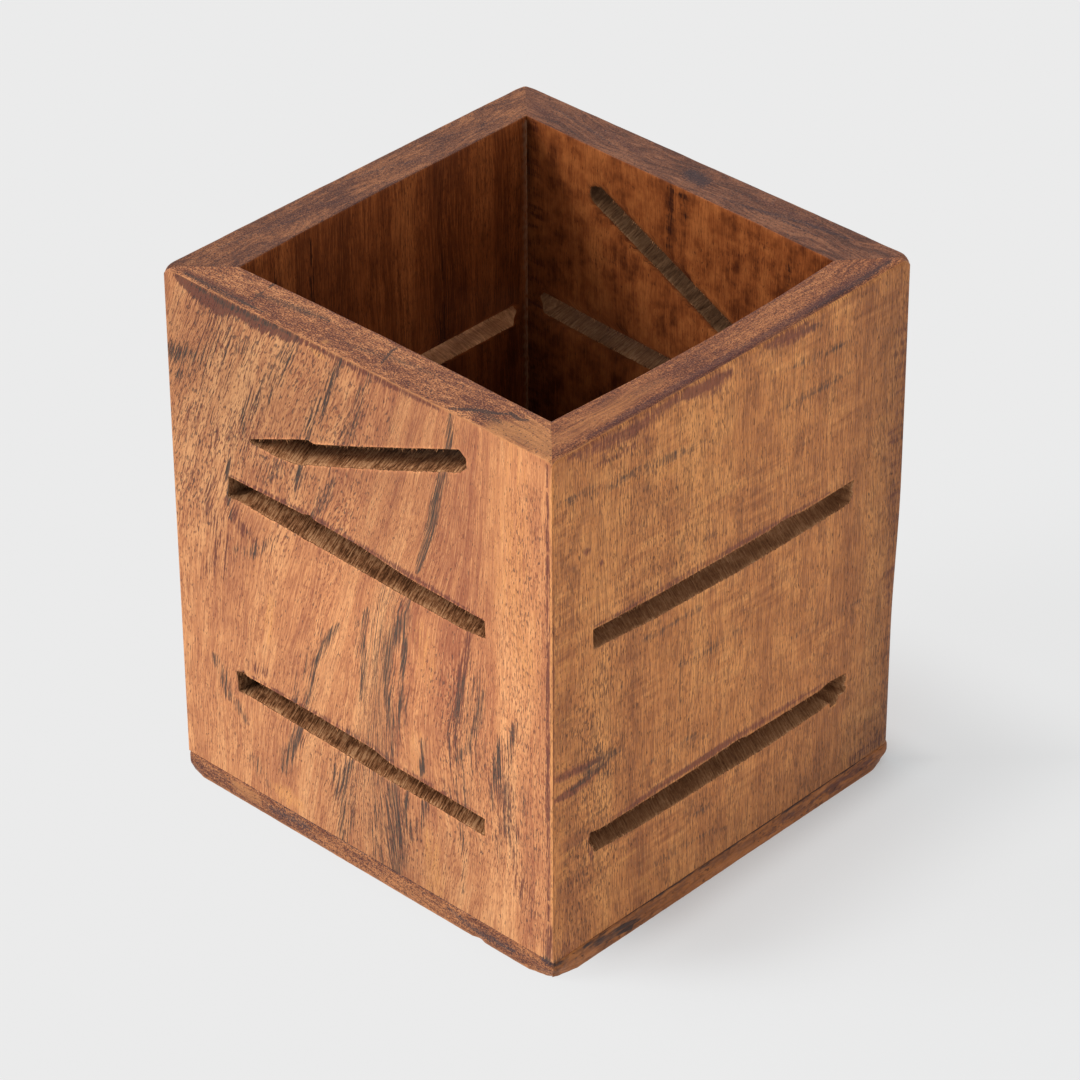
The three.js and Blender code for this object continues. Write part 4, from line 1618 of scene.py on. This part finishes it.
def base_skin(points):
    x, y, up = points.T
    marks = np.zeros((len(points), 4))
    on_front, on_right = y < 0.98 * base_low[1], x > 0.98 * base_high[0]
    marks[on_front] = paint(BASE_FRONT_MARKS, x[on_front], up[on_front])
    marks[on_right] = paint(BASE_RIGHT_MARKS, y[on_right], up[on_right])
    wear = 0.9 * np.exp(-((up / 0.3) ** 2))
    return Skin(np.stack([x, up, y], axis=1), marks, wear, np.zeros(len(points)))


def make_base():
    """The thin board under the cup: end grain shows front and back, long grain at the sides."""
    ring, normals = base_ring()
    count = len(ring)
    points, faces, finishes = base_edge(ring, normals)
    top = len(points) - count
    cap_base(points, faces, finishes, 0, count, True)
    cap_base(points, faces, finishes, top, count, False)
    points = np.array(points)
    return make_piece("base_plate", points * MM, faces, finishes, base_skin(points))


def board_woods():
    """Each board's materials: its face, rim, sawn walls, well and joints."""
    sawn = sawn_wood("front_sawn_wood", 1.1, (tone(92, 58, 34), tone(158, 107, 70), tone(208, 157, 112)))
    dull_sawn = sawn_wood("sawn_wood", 0.45, (tone(96, 61, 38), tone(158, 112, 76), tone(206, 157, 114)))
    return {
        "front": (
            long_grain("front_face_wood", TAN, 1, fine=0.85),
            end_grain("front_rim_wood", RIM_TONES["front"], 1, speckled=1.15, ringed=1.3),
            sawn,
            long_grain("front_well_wood", UMBER, 5, shine=0.15),
            sawn,
        ),
        "right": (
            long_grain("right_face_wood", BROWN, 2, ripple=0.42, blotch=0.7, comb=0.35),
            end_grain("right_rim_wood", RIM_TONES["right"], 2, ringed=1.5),
            dull_sawn,
            long_grain("right_well_wood", UMBER, 6, shine=0.15),
            dull_sawn,
        ),
        "back": (
            long_grain("back_face_wood", BROWN, 3, ripple=0.2),
            end_grain("back_rim_wood", RIM_TONES["back"], 3, speckled=0.45),
            dull_sawn,
            long_grain("back_well_wood", RUSSET, 7, blotch=1.7, pores=0.1, shine=0.15, fine=0.45, comb=0.15),
            dull_sawn,
        ),
        "left": (
            long_grain("left_face_wood", TAN, 4),
            end_grain("left_rim_wood", RIM_TONES["left"], 4, speckled=0.75, ringed=1.5),
            dull_sawn,
            long_grain("left_well_wood", UMBER, 8, pores=0.0, shine=0.15, fine=0.9, comb=1.2),
            dull_sawn,
        ),
    }


def dress():
    woods = board_woods()
    tree = fibre_tree(fibre_wood())
    for plan in WALLS:
        wall, finish_slot = plan.name, plan.finish_slot
        fibres = torn_fibres(plan, tree)
        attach(fibres, "root")
        board = make_board(plan)
        for material in woods[wall]:
            board.data.materials.append(material)
        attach(board, "root")
        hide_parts(wall + "_wall")
    plate = make_base()
    plate.data.materials.append(end_grain("base_end_wood", RIM_TONES["base"], 9))
    plate.data.materials.append(long_grain("base_side_wood", BASE_SIDE, 9, blotch=0.3, pores=0.0, fine=0.7))
    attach(plate, "root")
    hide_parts("base_board")


def floor_glow(bench):
    """How much the floor glows at each place, so that only the shaded side keeps its shadow."""
    where = bench.node("ShaderNodeTexCoord").outputs["Object"]
    place = bench.node("ShaderNodeSeparateXYZ", {0: where}).outputs
    past_side = bench.math("SUBTRACT", place["X"], 0.5 * CUP_WIDTH * MM)
    past_back = bench.math("SUBTRACT", place["Y"], 0.5 * CUP_DEPTH * MM)
    past = bench.math("MAXIMUM", past_side, past_back)
    half_way = 0.5 * (GLOW_BESIDE + GLOW_BEYOND)
    shaded_side = bench.add(
        bench.between(past, *NEAR_SHADE, GLOW_BESIDE, half_way),
        bench.between(past, *FAR_SHADE, 0.0, GLOW_BEYOND - half_way),
    )
    ahead = bench.between(place["Y"], *TO_FRONT)
    beside = bench.between(place["X"], *TO_LEFT)
    front = bench.math("MAXIMUM", ahead, beside)
    lift = bench.math("SUBTRACT", GLOW_FRONT, shaded_side)
    return bench.math("MULTIPLY_ADD", front, lift, shaded_side)


def set_floor():
    """Pale paper, wide enough to fill the view."""
    bpy.ops.mesh.primitive_plane_add(size=FLOOR_SIZE, location=(0, 0, 0))
    floor = bpy.context.active_object
    floor.name = "floor"
    material, bench = new_material("floor_paper")
    lit = bench.node("ShaderNodeBsdfDiffuse", {"Color": FLOOR_TONE})
    glow = bench.node("ShaderNodeEmission", {"Color": PAPER_TONE, "Strength": 1.0})
    shaders = {0: floor_glow(bench), 1: lit.outputs[0], 2: glow.outputs[0]}
    bench.end("ShaderNodeOutputMaterial", bench.node("ShaderNodeMixShader", shaders))
    floor.data.materials.append(material)


def set_key():
    key = bpy.data.lights.new("key", "SUN")
    key.energy = KEY_STRENGTH
    key.angle = math.radians(KEY_SIZE)
    way = towards(math.radians(KEY_AZIMUTH), math.radians(KEY_ELEVATION))
    link("key", key).rotation_euler = way.to_track_quat("Z", "Y").to_euler()


def set_world():
    """Light that is stronger low than overhead, with plain paper where the camera sees it."""
    world = bpy.data.worlds.new("studio")
    world.use_nodes = True
    bpy.context.scene.world = world
    world.node_tree.nodes.clear()
    bench = Bench(world.node_tree)
    rays = bench.node("ShaderNodeLightPath").outputs
    seen = bench.math("MAXIMUM", rays["Is Camera Ray"], rays["Is Glossy Ray"])
    seen = bench.math("MAXIMUM", seen, rays["Is Transmission Ray"])
    way = bench.node("ShaderNodeTexCoord").outputs["Generated"]
    rise = bench.node("ShaderNodeSeparateXYZ", {0: way}).outputs["Z"]
    strength = bench.between(rise, 0.0, 0.8, LOW_LIGHT, HIGH_LIGHT)
    light = bench.node("ShaderNodeBackground", {"Color": WHITE, "Strength": strength})
    paper = bench.node("ShaderNodeBackground", {"Color": PAPER_TONE, "Strength": 1.0})
    shaders = {0: seen, 1: light.outputs[0], 2: paper.outputs[0]}
    bench.end("ShaderNodeOutputWorld", bench.node("ShaderNodeMixShader", shaders))


set_camera()
dress()
set_floor()
set_key()
set_world()
bpy.context.scene.view_settings.view_transform = "Standard"
